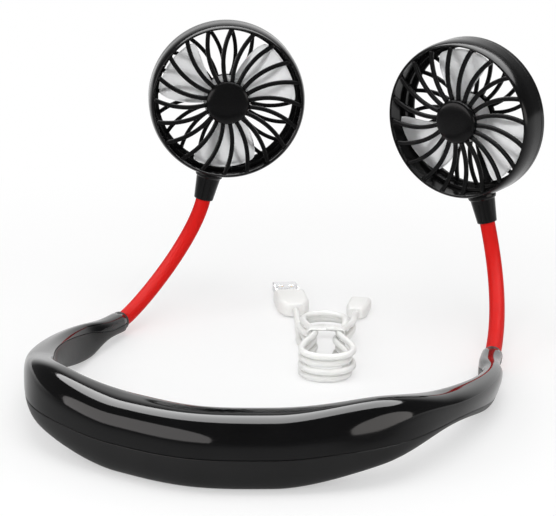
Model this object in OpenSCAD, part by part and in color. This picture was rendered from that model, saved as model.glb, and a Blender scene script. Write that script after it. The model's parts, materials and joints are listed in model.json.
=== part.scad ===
// Wearable neck fan: a U-shaped neckband with a fan head on a flexible gooseneck at each end.
// Millimetres. +Z is up, +X is to the right, and +Y points from the closed end of the band to the fans.
// The origin is on the table, under the middle of the whole fan.

/* [Neckband] */
// Width between the centre-lines of the two arms
band_span = 185; // [170:1:200]
// Length of the band's centre-line from its closed end to its two open ends, along Y
band_len = 163.5; // [150:0.5:180]
// Distance from the origin to the centre-line at the closed end
band_front = 118.3; // [105:0.1:130]
// Height of the band at its tallest stations, over the shoulders
band_h = 32.5; // [30:0.5:36]
// Front-to-back thickness of the closed end, which holds the cells
band_t = 24; // [23:0.5:28]
// Wall of the two shells
wall = 1.6; // [1.2:0.1:2]
// Gap between the two shells along their parting line
seam_gap = 0.15; // [0.1:0.05:0.3]
// Height of the open ends' centres above the table
end_h = 6.6; // [6:0.1:9]
// Radius of the round open ends
end_r = 4.6; // [4.5:0.1:5.5]

/* [Collars and goosenecks] */
// Length of a collar beyond the shell
collar_len = 3; // [2:0.5:6]
// Outer radius of the silicone sleeve
sleeve_r = 3.6; // [3.3:0.1:3.8]
// Wall of the silicone sleeve
sleeve_wall = 0.7; // [0.5:0.05:0.9]
// Depth of the sleeve in the collar and in the stem
sleeve_seat = 2.7; // [2:0.1:2.8]
// Radius of each ball in the core chain
ball_r = 1.5; // [1.3:0.05:1.6]
// Radius of the neck of each core link
neck_r = 0.8; // [0.6:0.05:0.9]
// Clearance between a ball and its cup
ball_gap = 0.06; // [0.03:0.01:0.1]
// Rise of the left gooseneck where it leaves its collar, degrees
left_rise = -10; // [-15:1:20]
// Rise of the right gooseneck where it leaves its collar, degrees
right_rise = 13; // [-15:1:20]
// How far the left gooseneck keeps its first direction
left_run = 13; // [10:1:40]
// How far the right gooseneck keeps its first direction
right_run = 35; // [10:1:40]
// How far each gooseneck is straight below its stem
stem_run = 23; // [15:1:35]

/* [Head poses] */
// Left head, place of the hub disc's face, X
left_x = -50; // [-60:0.5:-45]
// Left head, Y
left_y = 96.5; // [85:0.5:110]
// Left head, Z
left_z = 103.8; // [95:0.1:115]
// Left head, turn about Z towards the middle, degrees
left_turn = 20; // [10:1:30]
// Left head, upward pitch, degrees
left_pitch = -0.5; // [-10:0.5:10]
// Left head, lean about its own axis, degrees
left_lean = -12.5; // [-20:0.5:0]
// Right head, place of the hub disc's face, X
right_x = 58.1; // [50:0.1:65]
// Right head, Y
right_y = 99.5; // [85:0.5:110]
// Right head, Z
right_z = 101.1; // [95:0.1:115]
// Right head, turn about Z towards the middle, degrees
right_turn = -20; // [-30:1:-10]
// Right head, upward pitch, degrees
right_pitch = -2.5; // [-10:0.5:10]
// Right head, lean about its own axis, degrees
right_lean = 14; // [0:0.5:20]

/* [Fan head] */
// Outer radius of the head
head_r = 37.5; // [34:0.5:40]
// Depth of the head's wall
head_depth = 16.4; // [15:0.1:18]
// Wall of the head's shells
head_wall = 1.6; // [1.2:0.1:2]
// Width of the ring around the front opening
ring_w = 2.3; // [2:0.1:4.5]
// Width of the ring around the rear opening
rear_ring_w = 4.9; // [4.5:0.1:6.5]
// Radius of the round disc in the middle of the front grille
hub_r = 10.3; // [9:0.1:12]
// How far the disc's face stands in front of the ring
hub_proud = 1.6; // [1:0.1:3]
// Number of spokes in each grille
spokes = 20; // [12:1:24]
// Width of a front spoke
front_spoke_w = 2.1; // [1.5:0.1:2.6]
// Width of a rear spoke
rear_spoke_w = 1.9; // [1.4:0.1:2.4]
// Thickness of each grille
grille_t = 1.6; // [1.2:0.1:2]
// Length of the visible stem below the head
stem_len = 13; // [10:0.5:18]
// Radius at the stem's top
stem_top_r = 6; // [5.5:0.1:6.5]
// Radius at the stem's bottom
stem_low_r = 4.65; // [4.6:0.05:5.2]

/* [Impeller and motor] */
// Number of blades
blades = 3; // [3:1:5]
// Width of a blade, as an angle about the shaft
blade_angle = 62; // [30:1:70]
// Thickness of a blade
blade_t = 1.1; // [0.8:0.1:1.6]
// Gap from a blade's tip to the wall around it
tip_gap = 3.1; // [2:0.1:5]
// Radius of the impeller's hub
cup_r = 11.2; // [10.8:0.1:13]
// Axial height of the impeller
fan_h = 9.6; // [7:0.1:10]
// Gap from the front grille to the impeller
front_gap = 1.6; // [1:0.1:2]
// Radius of the motor's shaft
shaft_r = 0.75; // [0.6:0.05:1]
// Radial clearance of the shaft in its bush
shaft_gap = 0.03; // [0.01:0.01:0.08]

/* [Power] */
// Radius of a cell
cell_r = 8.2; // [7.5:0.1:8.4]
// Length of a cell
cell_len = 34; // [30:0.5:35]
// Radius of the power button
button_r = 2.5; // [2:0.1:3]
// Travel of the power button
button_travel = 0.5; // [0.2:0.05:0.5]
// Width of the charging inlet
port_w = 7.5; // [7:0.1:8.5]
// Height of the charging inlet
port_h = 2.6; // [2.4:0.1:3]

/* [Hidden] */
$fn = 64;
over = 0.5;
fit_gap = 0.05;
face_gap = 0.1;

// Collars, joints, heads and motors.
stem_pin_r = 2.6;
lead_bore_off = 1.6;
lead_r = 0.7;
stem_flange = 0.7;
collar_spigot = 3;
cup_wall = 0.55;
cup_gap = 0.3;
cup_out_r = ball_r + ball_gap + cup_wall;
cup_back = ball_r + ball_gap + 0.8 * cup_wall;
joint_out = 1.6;
ring_z = -hub_proud;
open_r = head_r - ring_w;
rear_open_r = head_r - rear_ring_w;
back_z = -hub_proud - head_depth;
part_z = back_z + head_depth / 6;
lip = 1.4;
round_deep = 8;
spigot_h = 2;
mount_r = 11;
mount_t = 1.8;
mount_z = back_z - grille_t - mount_t / 2;
spoke_sweep = 8.5;
spoke_turn = 44;
ring_low = ring_z - lip / 3 - grille_t;
fan_top = ring_low - front_gap;
fan_low = fan_top - fan_h;
tip_r = head_r - head_wall - tip_gap;
cup_t = 1;
cup_top_t = 1.2;
pin_boss_h = 2;
pin_boss_r = 2.2;
magnet_t = 1.2;
magnet_h = 6.6;
rotor_gap = 0.4;
stator_h = 4.6;
stator_rise = 1;
stator_low = fan_low + stator_rise;
slots = 6;
slot_w = 1.6;
board_t = 0.8;
rear_bite = 1.1;
arm_w = 4;
arm_t = 2.4;
standoff_r = 6.8;
standoff_in_r = 5;
standoff_h = 1.6;
board_low = mount_z + mount_t + standoff_h;
board_z = board_low + board_t;
shoulder_r = 4;
boss_r = 2.8;
bush_r = 1.8;
bush_floor = mount_z + mount_t + grille_t / 4;
boss_top = fan_top - cup_top_t - pin_boss_h - 3 * face_gap;
hub_pin_r = 3;
motor_screw_r = 0.45;
motor_screw_len = 1.6;
motor_screw_head = 0.85;

// Stations of the band's centre-line, from the middle of the closed end to an open end.
x_share = [0, 0.314, 0.693, 0.912, 1, 0.963, 0.953];
y_share = [0, 0.039, 0.135, 0.357, 0.783, 0.911, 1];
top_share = [0.905, 0.905, 1, 0.785, 0.475, 0.385];
low_share = [-0.009, -0.009, 0.2, 0.37, -0.006, 0.1];
half_share = [0.5, 0.5, 0.333, 0.292, 0.196, 0.186];
outer_seam_share = [0.425, 0.425, 0.45, 0.49, 0.195, 0.2];
inner_seam_share = [0.985, 0.985, 0.985, 0.732, 0.332, 0.235];
tilt = [1.5, 1.5, 10, -4, -19, 0, 0];
// Squareness of the band's section, where 2 is an ellipse, and the seam's highest place on a side.
power = 2.8;
seam_limit = 0.97;

plan = [for (i = [0:6]) [x_share[i] * band_span / 2, y_share[i] * band_len - band_front]];
top_z = [for (s = top_share) s * band_h, end_h + end_r];
low_z = [for (s = low_share) s * band_h, end_h - end_r];
half_w = [for (s = half_share) s * band_t, end_r];
outer_z = [for (s = outer_seam_share) s * band_h, end_h];
inner_z = [for (s = inner_seam_share) s * band_h, end_h];
chord = [for (i = [0:5]) norm(plan[i + 1] - plan[i])];
function total(v, n) = n < 1 ? 0 : v[n - 1] + total(v, n - 1);
knot = [for (i = [0:6]) total(chord, i)];
run = knot[6];

// Slopes at the stations: smooth ones for the plan, and ones that never overshoot for the rest.
function secants(v) = [for (i = [0:5]) (v[i + 1] - v[i]) / chord[i]];
function mean_slope(d, i) = (d[i - 1] * chord[i] + d[i] * chord[i - 1]) / (chord[i - 1] + chord[i]);
function plan_slopes(v) = let (d = secants(v))
    [for (i = [0:6]) i == 0 ? [1, 0] : i == 6 ? 1.5 * d[5] - 0.5 * mean_slope(d, 5) : mean_slope(d, i)];
function lane_slopes(v) = let (d = secants(v))
    [for (i = [0:6]) i == 0 ? 0 : i == 6 ? d[5]
        : d[i - 1] * d[i] <= 0 ? 0 : 2 * d[i - 1] * d[i] / (d[i - 1] + d[i])];
function span_at(t) = max([for (i = [0:5]) if (i == 0 || t >= knot[i]) i]);
function along(v, m, t) = let (i = span_at(t), h = chord[i], u = (t - knot[i]) / h)
    (2 * u * u * u - 3 * u * u + 1) * v[i] + (u * u * u - 2 * u * u + u) * h * m[i]
    + (3 * u * u - 2 * u * u * u) * v[i + 1] + (u * u * u - u * u) * h * m[i + 1];
function slope_at(v, m, t) = let (i = span_at(t), h = chord[i], u = (t - knot[i]) / h)
    (6 * u * u - 6 * u) / h * (v[i] - v[i + 1]) + (3 * u * u - 4 * u + 1) * m[i]
        + (3 * u * u - 2 * u) * m[i + 1];
plan_m = plan_slopes(plan);
top_m = lane_slopes(top_z);
low_m = lane_slopes(low_z);
half_m = lane_slopes(half_w);
outer_m = lane_slopes(outer_z);
inner_m = lane_slopes(inner_z);
tilt_m = lane_slopes(tilt);
function unit(v) = v / norm(v);
function spow(v, e) = sign(v) * pow(abs(v), e);

// One station of the band: centre, tangent, outward axis, upward axis, half width, half height, both seams.
function station(t) = let (
    p = along(plan, plan_m, t),
    d = unit(slope_at(plan, plan_m, t)),
    hi = along(top_z, top_m, t),
    lo = along(low_z, low_m, t),
    k = along(tilt, tilt_m, t))
    [[p[0], p[1], (hi + lo) / 2], [d[0], d[1], 0], [d[1] * cos(k), -d[0] * cos(k), sin(k)],
        [-d[1] * sin(k), d[0] * sin(k), cos(k)], along(half_w, half_m, t), (hi - lo) / 2,
        seam_angle(along(outer_z, outer_m, t), hi, lo), 180 - seam_angle(along(inner_z, inner_m, t), hi, lo)];
function seam_angle(z, hi, lo) =
    let (y = min(seam_limit, max(-seam_limit, (z - (hi + lo) / 2) / (hi - lo) * 2)))
    asin(spow(y, power / 2));
function rim(s, a, inset) = s[0] + (s[4] - inset) * spow(cos(a), 2 / power) * s[2]
    + (s[5] - inset) * spow(sin(a), 2 / power) * s[3];
function flip(p, side) = [p[0] * side, p[1], p[2]];

sections = 26;
rim_steps = 11;
shell_end = run;
function shell_loop(t, side, part) = let (s = station(t),
    g = seam_gap / 2 / s[5] * 180 / PI,
    from = part == 0 ? s[6] + g : s[7] + g,
    to = part == 0 ? s[7] - g : s[6] + 360 - g)
    concat([for (j = [0:rim_steps]) flip(rim(s, from + (to - from) * j / rim_steps, 0), side)],
        [for (j = [rim_steps:-1:0]) flip(rim(s, from + (to - from) * j / rim_steps, wall), side)]);

// A closed skin over a row of loops, whose ends are closed by strips between the outer and inner rows.
module loft(loops, half) {
    n = len(loops);
    m = len(loops[0]);
    points = [for (l = loops) each l];
    sides = [for (i = [0:n - 2], j = [0:m - 1]) let (k = (j + 1) % m)
        each [[i * m + j, i * m + k, (i + 1) * m + k], [i * m + j, (i + 1) * m + k, (i + 1) * m + j]]];
    ends = [for (j = [0:half - 1]) let (a = j, b = j + 1, c = m - 2 - j, d = m - 1 - j, e = (n - 1) * m)
        each [[a, c, b], [a, d, c], [e + a, e + b, e + c], [e + a, e + c, e + d]]];
    polyhedron(points, concat(sides, ends), convexity = 10);
}
module band_shell(part)
    loft([for (i = [-sections:sections]) shell_loop(abs(i) / sections * shell_end, i < 0 ? -1 : 1, part)],
        rim_steps);

// Screws that join the shells: places along the band, and how far from its centre towards the neck.
screw_share = [0.245, 0.57];
screw_off_share = 0.42;
post_r = 2;
pilot_r = 0.7;
screw_r = 0.65;
screw_hole_r = 0.9;
screw_head_r = 1.5;
screw_head_h = 0.9;
screw_len = 6;
function screw_at(share) = let (s = station(share * run)) s[0] - (s[4] - wall) * screw_off_share * s[2];
// Height of the band's underside below a screw.
function screw_low(share) = let (s = station(share * run), x = screw_off_share * (s[4] - wall) / s[4])
    s[0][2] - s[5] * pow(1 - pow(x, power), 1 / power);
module each_screw() for (side = [-1, 1], i = [0, 1]) {
    $low = screw_low(screw_share[i]);
    $mid = station(screw_share[i] * run)[0][2];
    $half = station(screw_share[i] * run)[5];
    p = screw_at(screw_share[i]);
    translate([p[0] * side, p[1], 0]) children();
}

// A frame on the outer side of an arm: X along the arm, Y up the side, Z out of the side.
port_share = 0.79;
side_angle = 6;
module at_arm(side, share) {
    s = station(share * run);
    p = rim(s, side_angle, 0);
    mirror([side < 0 ? 1 : 0, 0, 0])
        multmatrix([[s[1][0], s[3][0], s[2][0], p[0]], [s[1][1], s[3][1], s[2][1], p[1]],
            [s[1][2], s[3][2], s[2][2], p[2]], [0, 0, 0, 1]]) children();
}
port_depth = 5.2;
port_wall = 0.35;
port_inset = 0.3;
port_hole_gap = 0.15;
charge_board_l = 17;
charge_board_deep = 7;
chip = [3, 2.6, 0.9];
tongue_t = 0.6;
tongue_w = 3.8;
button_hole_gap = 0.1;
button_proud = 0.4;
button_flange = 0.9;
button_flange_w = 3;
button_flange_t = 0.5;
button_flange_gap = 0.25;
switch_size = [3.4, 3.4, 2.2];
plunger_r = 0.9;
plunger_h = 0.5;
switch_depth = wall + button_flange_gap + button_flange_t + button_travel + plunger_h + switch_size[2]
    + 3 * fit_gap;
switch_board_l = 14;
switch_board_w = 5;
lens_r = 0.8;
lens_off = 6;

module upper_shell() color("#101012") difference() {
    union() {
        band_shell(0);
        each_screw() translate([0, 0, $mid + face_gap])
            cylinder(r = post_r, h = $half - wall / 2 - face_gap, $fn = 32);
    }
    each_screw() translate([0, 0, $mid - over]) cylinder(r = pilot_r, h = screw_len / 2 + over, $fn = 24);
    at_arm(1, port_share) translate([0, 0, -wall])
        cube([port_w + 2 * port_hole_gap, port_h + 2 * port_hole_gap, 3 * wall], center = true);
    at_arm(-1, port_share) translate([0, 0, -2 * wall])
        cylinder(r = button_r + button_hole_gap, h = 4 * wall, $fn = 32);
    at_arm(-1, port_share) translate([lens_off, 0, -2 * wall])
        cylinder(r = lens_r + fit_gap, h = 4 * wall, $fn = 24);
}

module lower_shell() color("#29292b") difference() {
    union() {
        band_shell(1);
        each_screw() translate([0, 0, $low + wall / 2])
            cylinder(r = post_r, h = $mid - $low - wall / 2, $fn = 32);
    }
    each_screw() translate([0, 0, $low - over])
        cylinder(r = screw_hole_r, h = $mid - $low + 2 * over, $fn = 24);
    each_screw() translate([0, 0, $low - over])
        cylinder(r = screw_head_r + fit_gap, h = $mid - $low + over - screw_len / 2, $fn = 32);
    translate([-band_span, -band_len, -band_h]) cube([2 * band_span, 2 * band_len, band_h]);
}

module shell_screws() color("#8f9296") each_screw() translate([0, 0, $mid - screw_len / 2]) {
    cylinder(r = screw_r, h = screw_len - face_gap, $fn = 24);
    translate([0, 0, -screw_head_h]) cylinder(r = screw_head_r, h = screw_head_h, $fn = 32);
}

// Cells end to end in the closed end, with a cradle under each and a foam pad on each.
cell_turn_gap = 3.6;
cell_place = cell_len / 2 + cell_turn_gap;
cell_back = 0.9;
cradle_w = 11;
cradle_l = 26;
cradle_lift = 1.5;
pad_w = 9;
cell_button_r = 2.6;
cell_button_h = 0.8;
module at_cell(side) {
    s = station(cell_place);
    p = s[0] - cell_back * s[2];
    mirror([side < 0 ? 1 : 0, 0, 0]) translate([p[0], p[1], s[0][2]])
        rotate([0, 0, atan2(s[1][1], s[1][0])]) children();
}
cell_half = station(cell_place)[5] - wall;
module battery_cells() color("#3d7fb8") for (side = [-1, 1]) at_cell(side) rotate([0, 90, 0]) {
    translate([0, 0, -cell_len / 2]) cylinder(r = cell_r, h = cell_len);
    translate([0, 0, cell_len / 2]) cylinder(r = cell_button_r, h = cell_button_h, $fn = 32);
}
module cell_cradles() color("#3a3a3c") for (side = [-1, 1]) at_cell(side) difference() {
    translate([-cradle_l / 2, -cradle_w / 2, cradle_lift - cell_half])
        cube([cradle_l, cradle_w, cell_half - cell_r / 2]);
    rotate([0, 90, 0]) cylinder(r = cell_r + fit_gap, h = 2 * cradle_l, center = true);
}
module cell_pads() color("#5a5a5c") for (side = [-1, 1]) at_cell(side) difference() {
    translate([-cradle_l / 2, -pad_w / 2, cell_r / 2])
        cube([cradle_l, pad_w, cell_half - cradle_lift - cell_r / 2]);
    rotate([0, 90, 0]) cylinder(r = cell_r + fit_gap, h = 2 * cradle_l, center = true);
}

module charge_port() color("#c9ccd0") at_arm(1, port_share) translate([0, 0, -port_inset - port_depth])
    difference() {
    translate([-port_w / 2, -port_h / 2, 0]) cube([port_w, port_h, port_depth]);
    translate([port_wall - port_w / 2, port_wall - port_h / 2, port_wall])
        cube([port_w - 2 * port_wall, port_h - 2 * port_wall, port_depth]);
}
module port_tongue() color("#1c1c1e") at_arm(1, port_share)
    translate([0, 0, port_wall - port_inset - port_depth])
    translate([-tongue_w / 2, -tongue_t / 2, 0])
        cube([tongue_w, tongue_t, port_depth - port_wall - 3 * port_wall]);
module charge_board() color("#1f6b3a") at_arm(1, port_share) {
    translate([-charge_board_l / 2, -port_h / 2 - board_t, -charge_board_deep])
        cube([charge_board_l, board_t, charge_board_deep - wall - 2 * button_flange_gap]);
    translate([-charge_board_l / 2 + chip[0] / 4, -port_h / 2, -port_inset - port_depth + chip[2] / 2])
        cube([chip[0], chip[2], chip[1]]);
}
module switch_board() color("#1f6b3a") at_arm(-1, port_share)
    translate([-switch_board_l / 2 + lens_off / 2, -switch_board_w / 2, -board_t - switch_depth])
        cube([switch_board_l, switch_board_w, board_t]);
module tact_switch() color("#b9bcc0") at_arm(-1, port_share) translate([0, 0, -switch_depth]) {
    translate([-switch_size[0] / 2, -switch_size[1] / 2, 0]) cube(switch_size);
    cylinder(r = plunger_r, h = switch_size[2] + plunger_h, $fn = 32);
}
module power_button() color("#18181a") at_arm(-1, port_share) {
    translate([0, 0, -wall - button_flange_gap])
        cylinder(r = button_r, h = wall + button_flange_gap + button_proud, $fn = 32);
    translate([-button_r - button_flange, -button_flange_w / 2, -wall - button_flange_gap - button_flange_t])
        cube([2 * button_r + 2 * button_flange, button_flange_w, button_flange_t]);
}
module indicator_lens() color("#e8eef2") at_arm(-1, port_share)
    translate([lens_off, 0, -switch_depth + fit_gap])
    cylinder(r = lens_r, h = switch_depth - fit_gap, $fn = 24);

// A round lead swept along a row of points.
lead_sides = 6;
lead_off_share = 0.4;
function ring_at(p, d, up, r, sides, spin) = let (x = unit(cross(up, d)), y = cross(d, x))
    [for (k = [0:sides - 1]) let (a = (k + spin) * 360 / sides) p + r * cos(a) * x + r * sin(a) * y];
module tube(points, r, sides, up) {
    n = len(points);
    rings = [for (i = [0:n - 1]) ring_at(points[i], unit(points[min(i + 1, n - 1)] - points[max(i - 1, 0)]),
        up, r, sides, 0)];
    skin(rings);
}
module skin(rings) {
    n = len(rings);
    m = len(rings[0]);
    sides = [for (i = [0:n - 2], j = [0:m - 1]) let (k = (j + 1) % m)
        each [[i * m + j, (i + 1) * m + k, i * m + k], [i * m + j, (i + 1) * m + j, (i + 1) * m + k]]];
    ends = [for (j = [1:m - 2]) each [[0, j, j + 1], [(n - 1) * m, (n - 1) * m + j + 1, (n - 1) * m + j]]];
    polyhedron([for (l = rings) each l], concat(sides, ends), convexity = 10);
}
function lead_point(t, side, share) = let (s = station(t)) flip(s[0] + share * (s[4] - wall) * s[2], side);
lead_steps = 12;
module band_lead(from, to, side, last_share = lead_off_share)
    tube([for (i = [0:lead_steps]) lead_point(from + (to - from) * i / lead_steps, side,
        lead_off_share + (last_share - lead_off_share) * ease(4 * i / lead_steps - 3))], lead_r, lead_sides,
            [0, 0, 1]);
cell_end = cell_place + cell_len / 2 + 2 * cell_button_h;
arm_end = run - collar_spigot - over;
module battery_leads() color("#c43a30") {
    band_lead(cell_end, port_share * run - charge_board_l / 2 - over, 1);
    band_lead(cell_end, port_share * run - switch_board_l / 2 + lens_off / 2 + lead_r, -1, 0);
}
module motor_leads() color("#d8d8d8") {
    band_lead(port_share * run + switch_board_l / 2 + lens_off, arm_end, -1);
    band_lead(port_share * run + charge_board_l / 2 + over, arm_end, 1);
}

// Collars at the open ends.
end_station = station(run);
end_turn = atan2(end_station[1][1], end_station[1][0]);
face_at = end_station[0] + collar_len * end_station[1];
module at_end(side) mirror([side < 0 ? 1 : 0, 0, 0])
    translate(end_station[0]) rotate([0, 0, end_turn]) rotate([0, 90, 0]) children();
module collar(k) color("#161618") {
    side = k == 0 ? -1 : 1;
    axis = [end_station[1][0] * side, end_station[1][1], 0];
    at_end(side) difference() {
        union() {
            translate([0, 0, fit_gap]) cylinder(r = end_r, h = collar_len - fit_gap);
            translate([0, 0, -collar_spigot])
                cylinder(r = end_r - wall - 4 * face_gap, h = collar_spigot + collar_len / 2);
        }
        translate([0, 0, collar_len - sleeve_seat]) cylinder(r = sleeve_r + fit_gap, h = sleeve_seat + over);
        translate([lead_bore_off, 0, -collar_spigot - over])
            cylinder(r = lead_r + ball_gap, h = 2 * collar_spigot, $fn = 24);
    }
    root = flip(face_at, side) - (sleeve_seat + over) * axis;
    tail = joint_point(k, 0);
    aim(root, tail) {
        cylinder(r = neck_r, h = norm(tail - root) - cup_back + cup_wall / 3, $fn = 24);
        translate([0, 0, norm(tail - root)]) cup();
    }
}

// The goosenecks: a smooth curve from each collar's face to the foot of each stem.
function spin_z(v, a) = [v[0] * cos(a) - v[1] * sin(a), v[0] * sin(a) + v[1] * cos(a), v[2]];
function spin_x(v, a) = [v[0], v[1] * cos(a) - v[2] * sin(a), v[1] * sin(a) + v[2] * cos(a)];
head_place = [[left_x, left_y, left_z], [right_x, right_y, right_z]];
head_turn = [[left_turn, left_pitch, left_lean], [right_turn, right_pitch, right_lean]];
function head_vec(k, v) = spin_z(spin_x(spin_z(v, head_turn[k][2]), 90 - head_turn[k][1]), head_turn[k][0]);
stem_back = 12;
stem_foot = head_r + stem_len;
function foot(k) = head_place[k] + head_vec(k, [0, -stem_foot, -stem_back]);
function first(k) = let (side = k == 0 ? -1 : 1, r = k == 0 ? left_rise : right_rise)
    [end_station[1][0] * side * cos(r), end_station[1][1] * cos(r), sin(r)];
function bends(k) = let (a = flip(face_at, k == 0 ? -1 : 1))
    [a, a + first(k) * (k == 0 ? left_run : right_run), foot(k) + head_vec(k, [0, -stem_run, 0]), foot(k)];
function bezier(b, u) = pow(1 - u, 3) * b[0] + 3 * pow(1 - u, 2) * u * b[1] + 3 * (1 - u) * u * u * b[2]
    + u * u * u * b[3];
function bezier_d(b, u) = unit(pow(1 - u, 2) * (b[1] - b[0]) + 2 * (1 - u) * u * (b[2] - b[1])
    + u * u * (b[3] - b[2]));
curve_steps = 48;
bend_points = [bends(0), bends(1)];
function lengths(b, i) = i == 0 ? [0] : let (l = lengths(b, i - 1))
    concat(l, [l[i - 1] + norm(bezier(b, i / curve_steps) - bezier(b, (i - 1) / curve_steps))]);
length_table = [for (k = [0, 1]) lengths(bend_points[k], curve_steps)];
curve_table = [for (k = [0, 1]) [for (i = [0:curve_steps]) [length_table[k][i], i / curve_steps]]];
function neck_len(k) = length_table[k][curve_steps];
function neck_point(k, s) = bezier(bend_points[k], lookup(s, curve_table[k]));
function neck_dir(k, s) = bezier_d(bend_points[k], lookup(s, curve_table[k]));
links = 5;
function joint_point(k, i) = neck_point(k, joint_out + (neck_len(k) - 2 * joint_out) * i / links);

sleeve_rings = 22;
sleeve_sides = 12;
function sleeve_ring(k, s, r) = let (l = neck_len(k), side = k == 0 ? -1 : 1,
    axis = [end_station[1][0] * side, end_station[1][1], 0], top = head_vec(k, [0, 1, 0]))
    s <= 0 ? ring_at(flip(face_at, side) + s * axis, axis, [1, 0, 0], r, sleeve_sides, 0.5)
    : s >= l ? ring_at(foot(k) + (s - l) * top, top, [1, 0, 0], r, sleeve_sides, 0.5)
    : ring_at(neck_point(k, s), neck_dir(k, s), [1, 0, 0], r, sleeve_sides, 0.5);
function sleeve_stops(k) = let (l = neck_len(k), e = sleeve_seat - 3 * fit_gap)
    concat([-e], [for (i = [0:sleeve_rings]) i * l / sleeve_rings], [l + e]);
module sleeve(k) {
    outer = [for (s = sleeve_stops(k)) sleeve_ring(k, s, sleeve_r)];
    inner = [for (s = sleeve_stops(k)) sleeve_ring(k, s, sleeve_r - sleeve_wall)];
    n = len(outer);
    m = sleeve_sides;
    all = concat([for (l = outer) each l], [for (l = inner) each l]);
    o = n * m;
    color("#e0201c") polyhedron(all, [
        for (i = [0:n - 2], j = [0:m - 1]) let (a = i * m + j, b = i * m + (j + 1) % m, c = a + m, d = b + m)
            each [[a, d, b], [a, c, d], [o + a, o + b, o + d], [o + a, o + d, o + c]],
        for (j = [0:m - 1]) let (a = j, b = (j + 1) % m, e = (n - 1) * m)
            each [[a, b, o + b], [a, o + b, o + a], [e + a, o + e + b, e + b],
                [e + a, o + e + a, o + e + b]]],
        convexity = 10);
}

// A core link: a ball at one joint, and the cup of the next ball at the other.
module aim(p, q) {
    d = unit(q - p);
    translate(p) rotate([0, acos(d[2]), atan2(d[1], d[0])]) children();
}
module cup() difference() {
    translate([0, 0, -cup_back]) cylinder(r = cup_out_r, h = cup_back + cup_gap, $fn = 32);
    sphere(r = ball_r + ball_gap, $fn = 32);
}
module core_link(k, i) color("#8a8d92") aim(joint_point(k, i - 1), joint_point(k, i)) {
    l = norm(joint_point(k, i) - joint_point(k, i - 1));
    sphere(r = ball_r, $fn = 32);
    cylinder(r = neck_r, h = l - cup_back + cup_wall / 3, $fn = 24);
    translate([0, 0, l]) cup();
}

// The fan head. Its own frame has +Z out of the front, +Y up, and its origin on the disc's face.
module at_head(k) translate(head_place[k]) rotate([0, 0, head_turn[k][0]])
    rotate([90 - head_turn[k][1], 0, 0]) rotate([0, 0, head_turn[k][2]]) children();
module disc(r, low, high) translate([0, 0, low]) cylinder(r = r, h = high - low, $fn = 96);
module hoop(out_r, in_r, low, high) difference() {
    disc(out_r, low, high);
    disc(in_r, low - over, high + over);
}
module arcs(from_r, to_r, w, low, high, hand) {
    b = [to_r * cos(spoke_sweep), -to_r * sin(spoke_sweep)];
    c = atan2(b[1], b[0] - from_r);
    radius = norm(b - [from_r, 0]) / 2 / sin(spoke_turn / 2);
    st = c + spoke_turn / 2;
    mirror([0, hand < 0 ? 1 : 0, 0]) for (i = [0:spokes - 1]) rotate([0, 0, i * 360 / spokes])
        translate([from_r + radius * sin(st), -radius * cos(st), low]) rotate([0, 0, st + 90 - spoke_turn])
            rotate_extrude(angle = spoke_turn) translate([radius - w / 2, 0]) square([w, high - low]);
}
// The ring's outer side is a quarter of an ellipse, round_deep long, from the wall to the opening's edge.
module front_shell(k) color("#1d1d1f") at_head(k) {
    difference() {
        rotate_extrude($fn = 96) polygon(concat([[head_r, part_z]],
            [for (q = [0:15:90]) [open_r + lip / 3 + (head_r - open_r - lip / 3) * cos(q),
                ring_z - round_deep * (1 - sin(q))]],
            [[open_r, ring_z - lip / 3], [open_r, ring_low], [head_r - head_wall, ring_low],
                [head_r - head_wall, part_z]]));
        translate([0, 0, -stem_back]) rotate([90, 0, 0])
            cylinder(r = stem_pin_r + fit_gap, h = 2 * head_r, $fn = 32);
    }
    arcs(hub_r - over, open_r + over, front_spoke_w, ring_low + face_gap, ring_z - lip / 3 - fit_gap, 1);
    hoop(hub_r, hub_pin_r + fit_gap, ring_low, ring_z - lip / 3 + fit_gap);
}
module hub_cap(k) color("#1a1a1c") at_head(k) {
    rotate_extrude($fn = 96) polygon([[0, 0], [hub_r - lip, 0], [hub_r - lip / 3, -lip / 3], [hub_r, -lip],
        [hub_r, ring_z - lip / 3 + 2 * fit_gap], [0, ring_z - lip / 3 + 2 * fit_gap]]);
    disc(hub_pin_r, ring_low, ring_z);
}
module rear_shell(k) color("#1d1d1f") at_head(k) difference() {
    union() {
        rotate_extrude($fn = 96) polygon([[head_r, part_z - fit_gap],
            [head_r - head_wall - face_gap, part_z - fit_gap],
            [head_r - head_wall - face_gap, part_z + spigot_h], [head_r - 2 * head_wall, part_z + spigot_h],
            [head_r - 2 * head_wall, back_z], [rear_open_r, back_z],
            [rear_open_r, back_z - grille_t], [head_r - lip, back_z - grille_t], [head_r, back_z]]);
        arcs(mount_r - over, rear_open_r + rear_bite, rear_spoke_w, back_z - grille_t, back_z, -1);
        disc(mount_r, mount_z, mount_z + mount_t);
        hoop(mount_r, mount_r - 2 * over, mount_z, back_z);
        translate([-arm_w / 2, -rear_open_r - rear_bite, back_z - arm_t])
            cube([arm_w, rear_open_r + rear_bite - mount_r + over, arm_t]);
        hoop(standoff_r, standoff_in_r, mount_z + mount_t - fit_gap, board_low);
        disc(shoulder_r, mount_z + mount_t - fit_gap, stator_low);
        disc(boss_r, mount_z, boss_top);
    }
    disc(bush_r + fit_gap / 2, bush_floor, boss_top + over);
    at_motor_screws() disc(motor_screw_r + fit_gap / 2, board_low - motor_screw_len, board_z);
}
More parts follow.
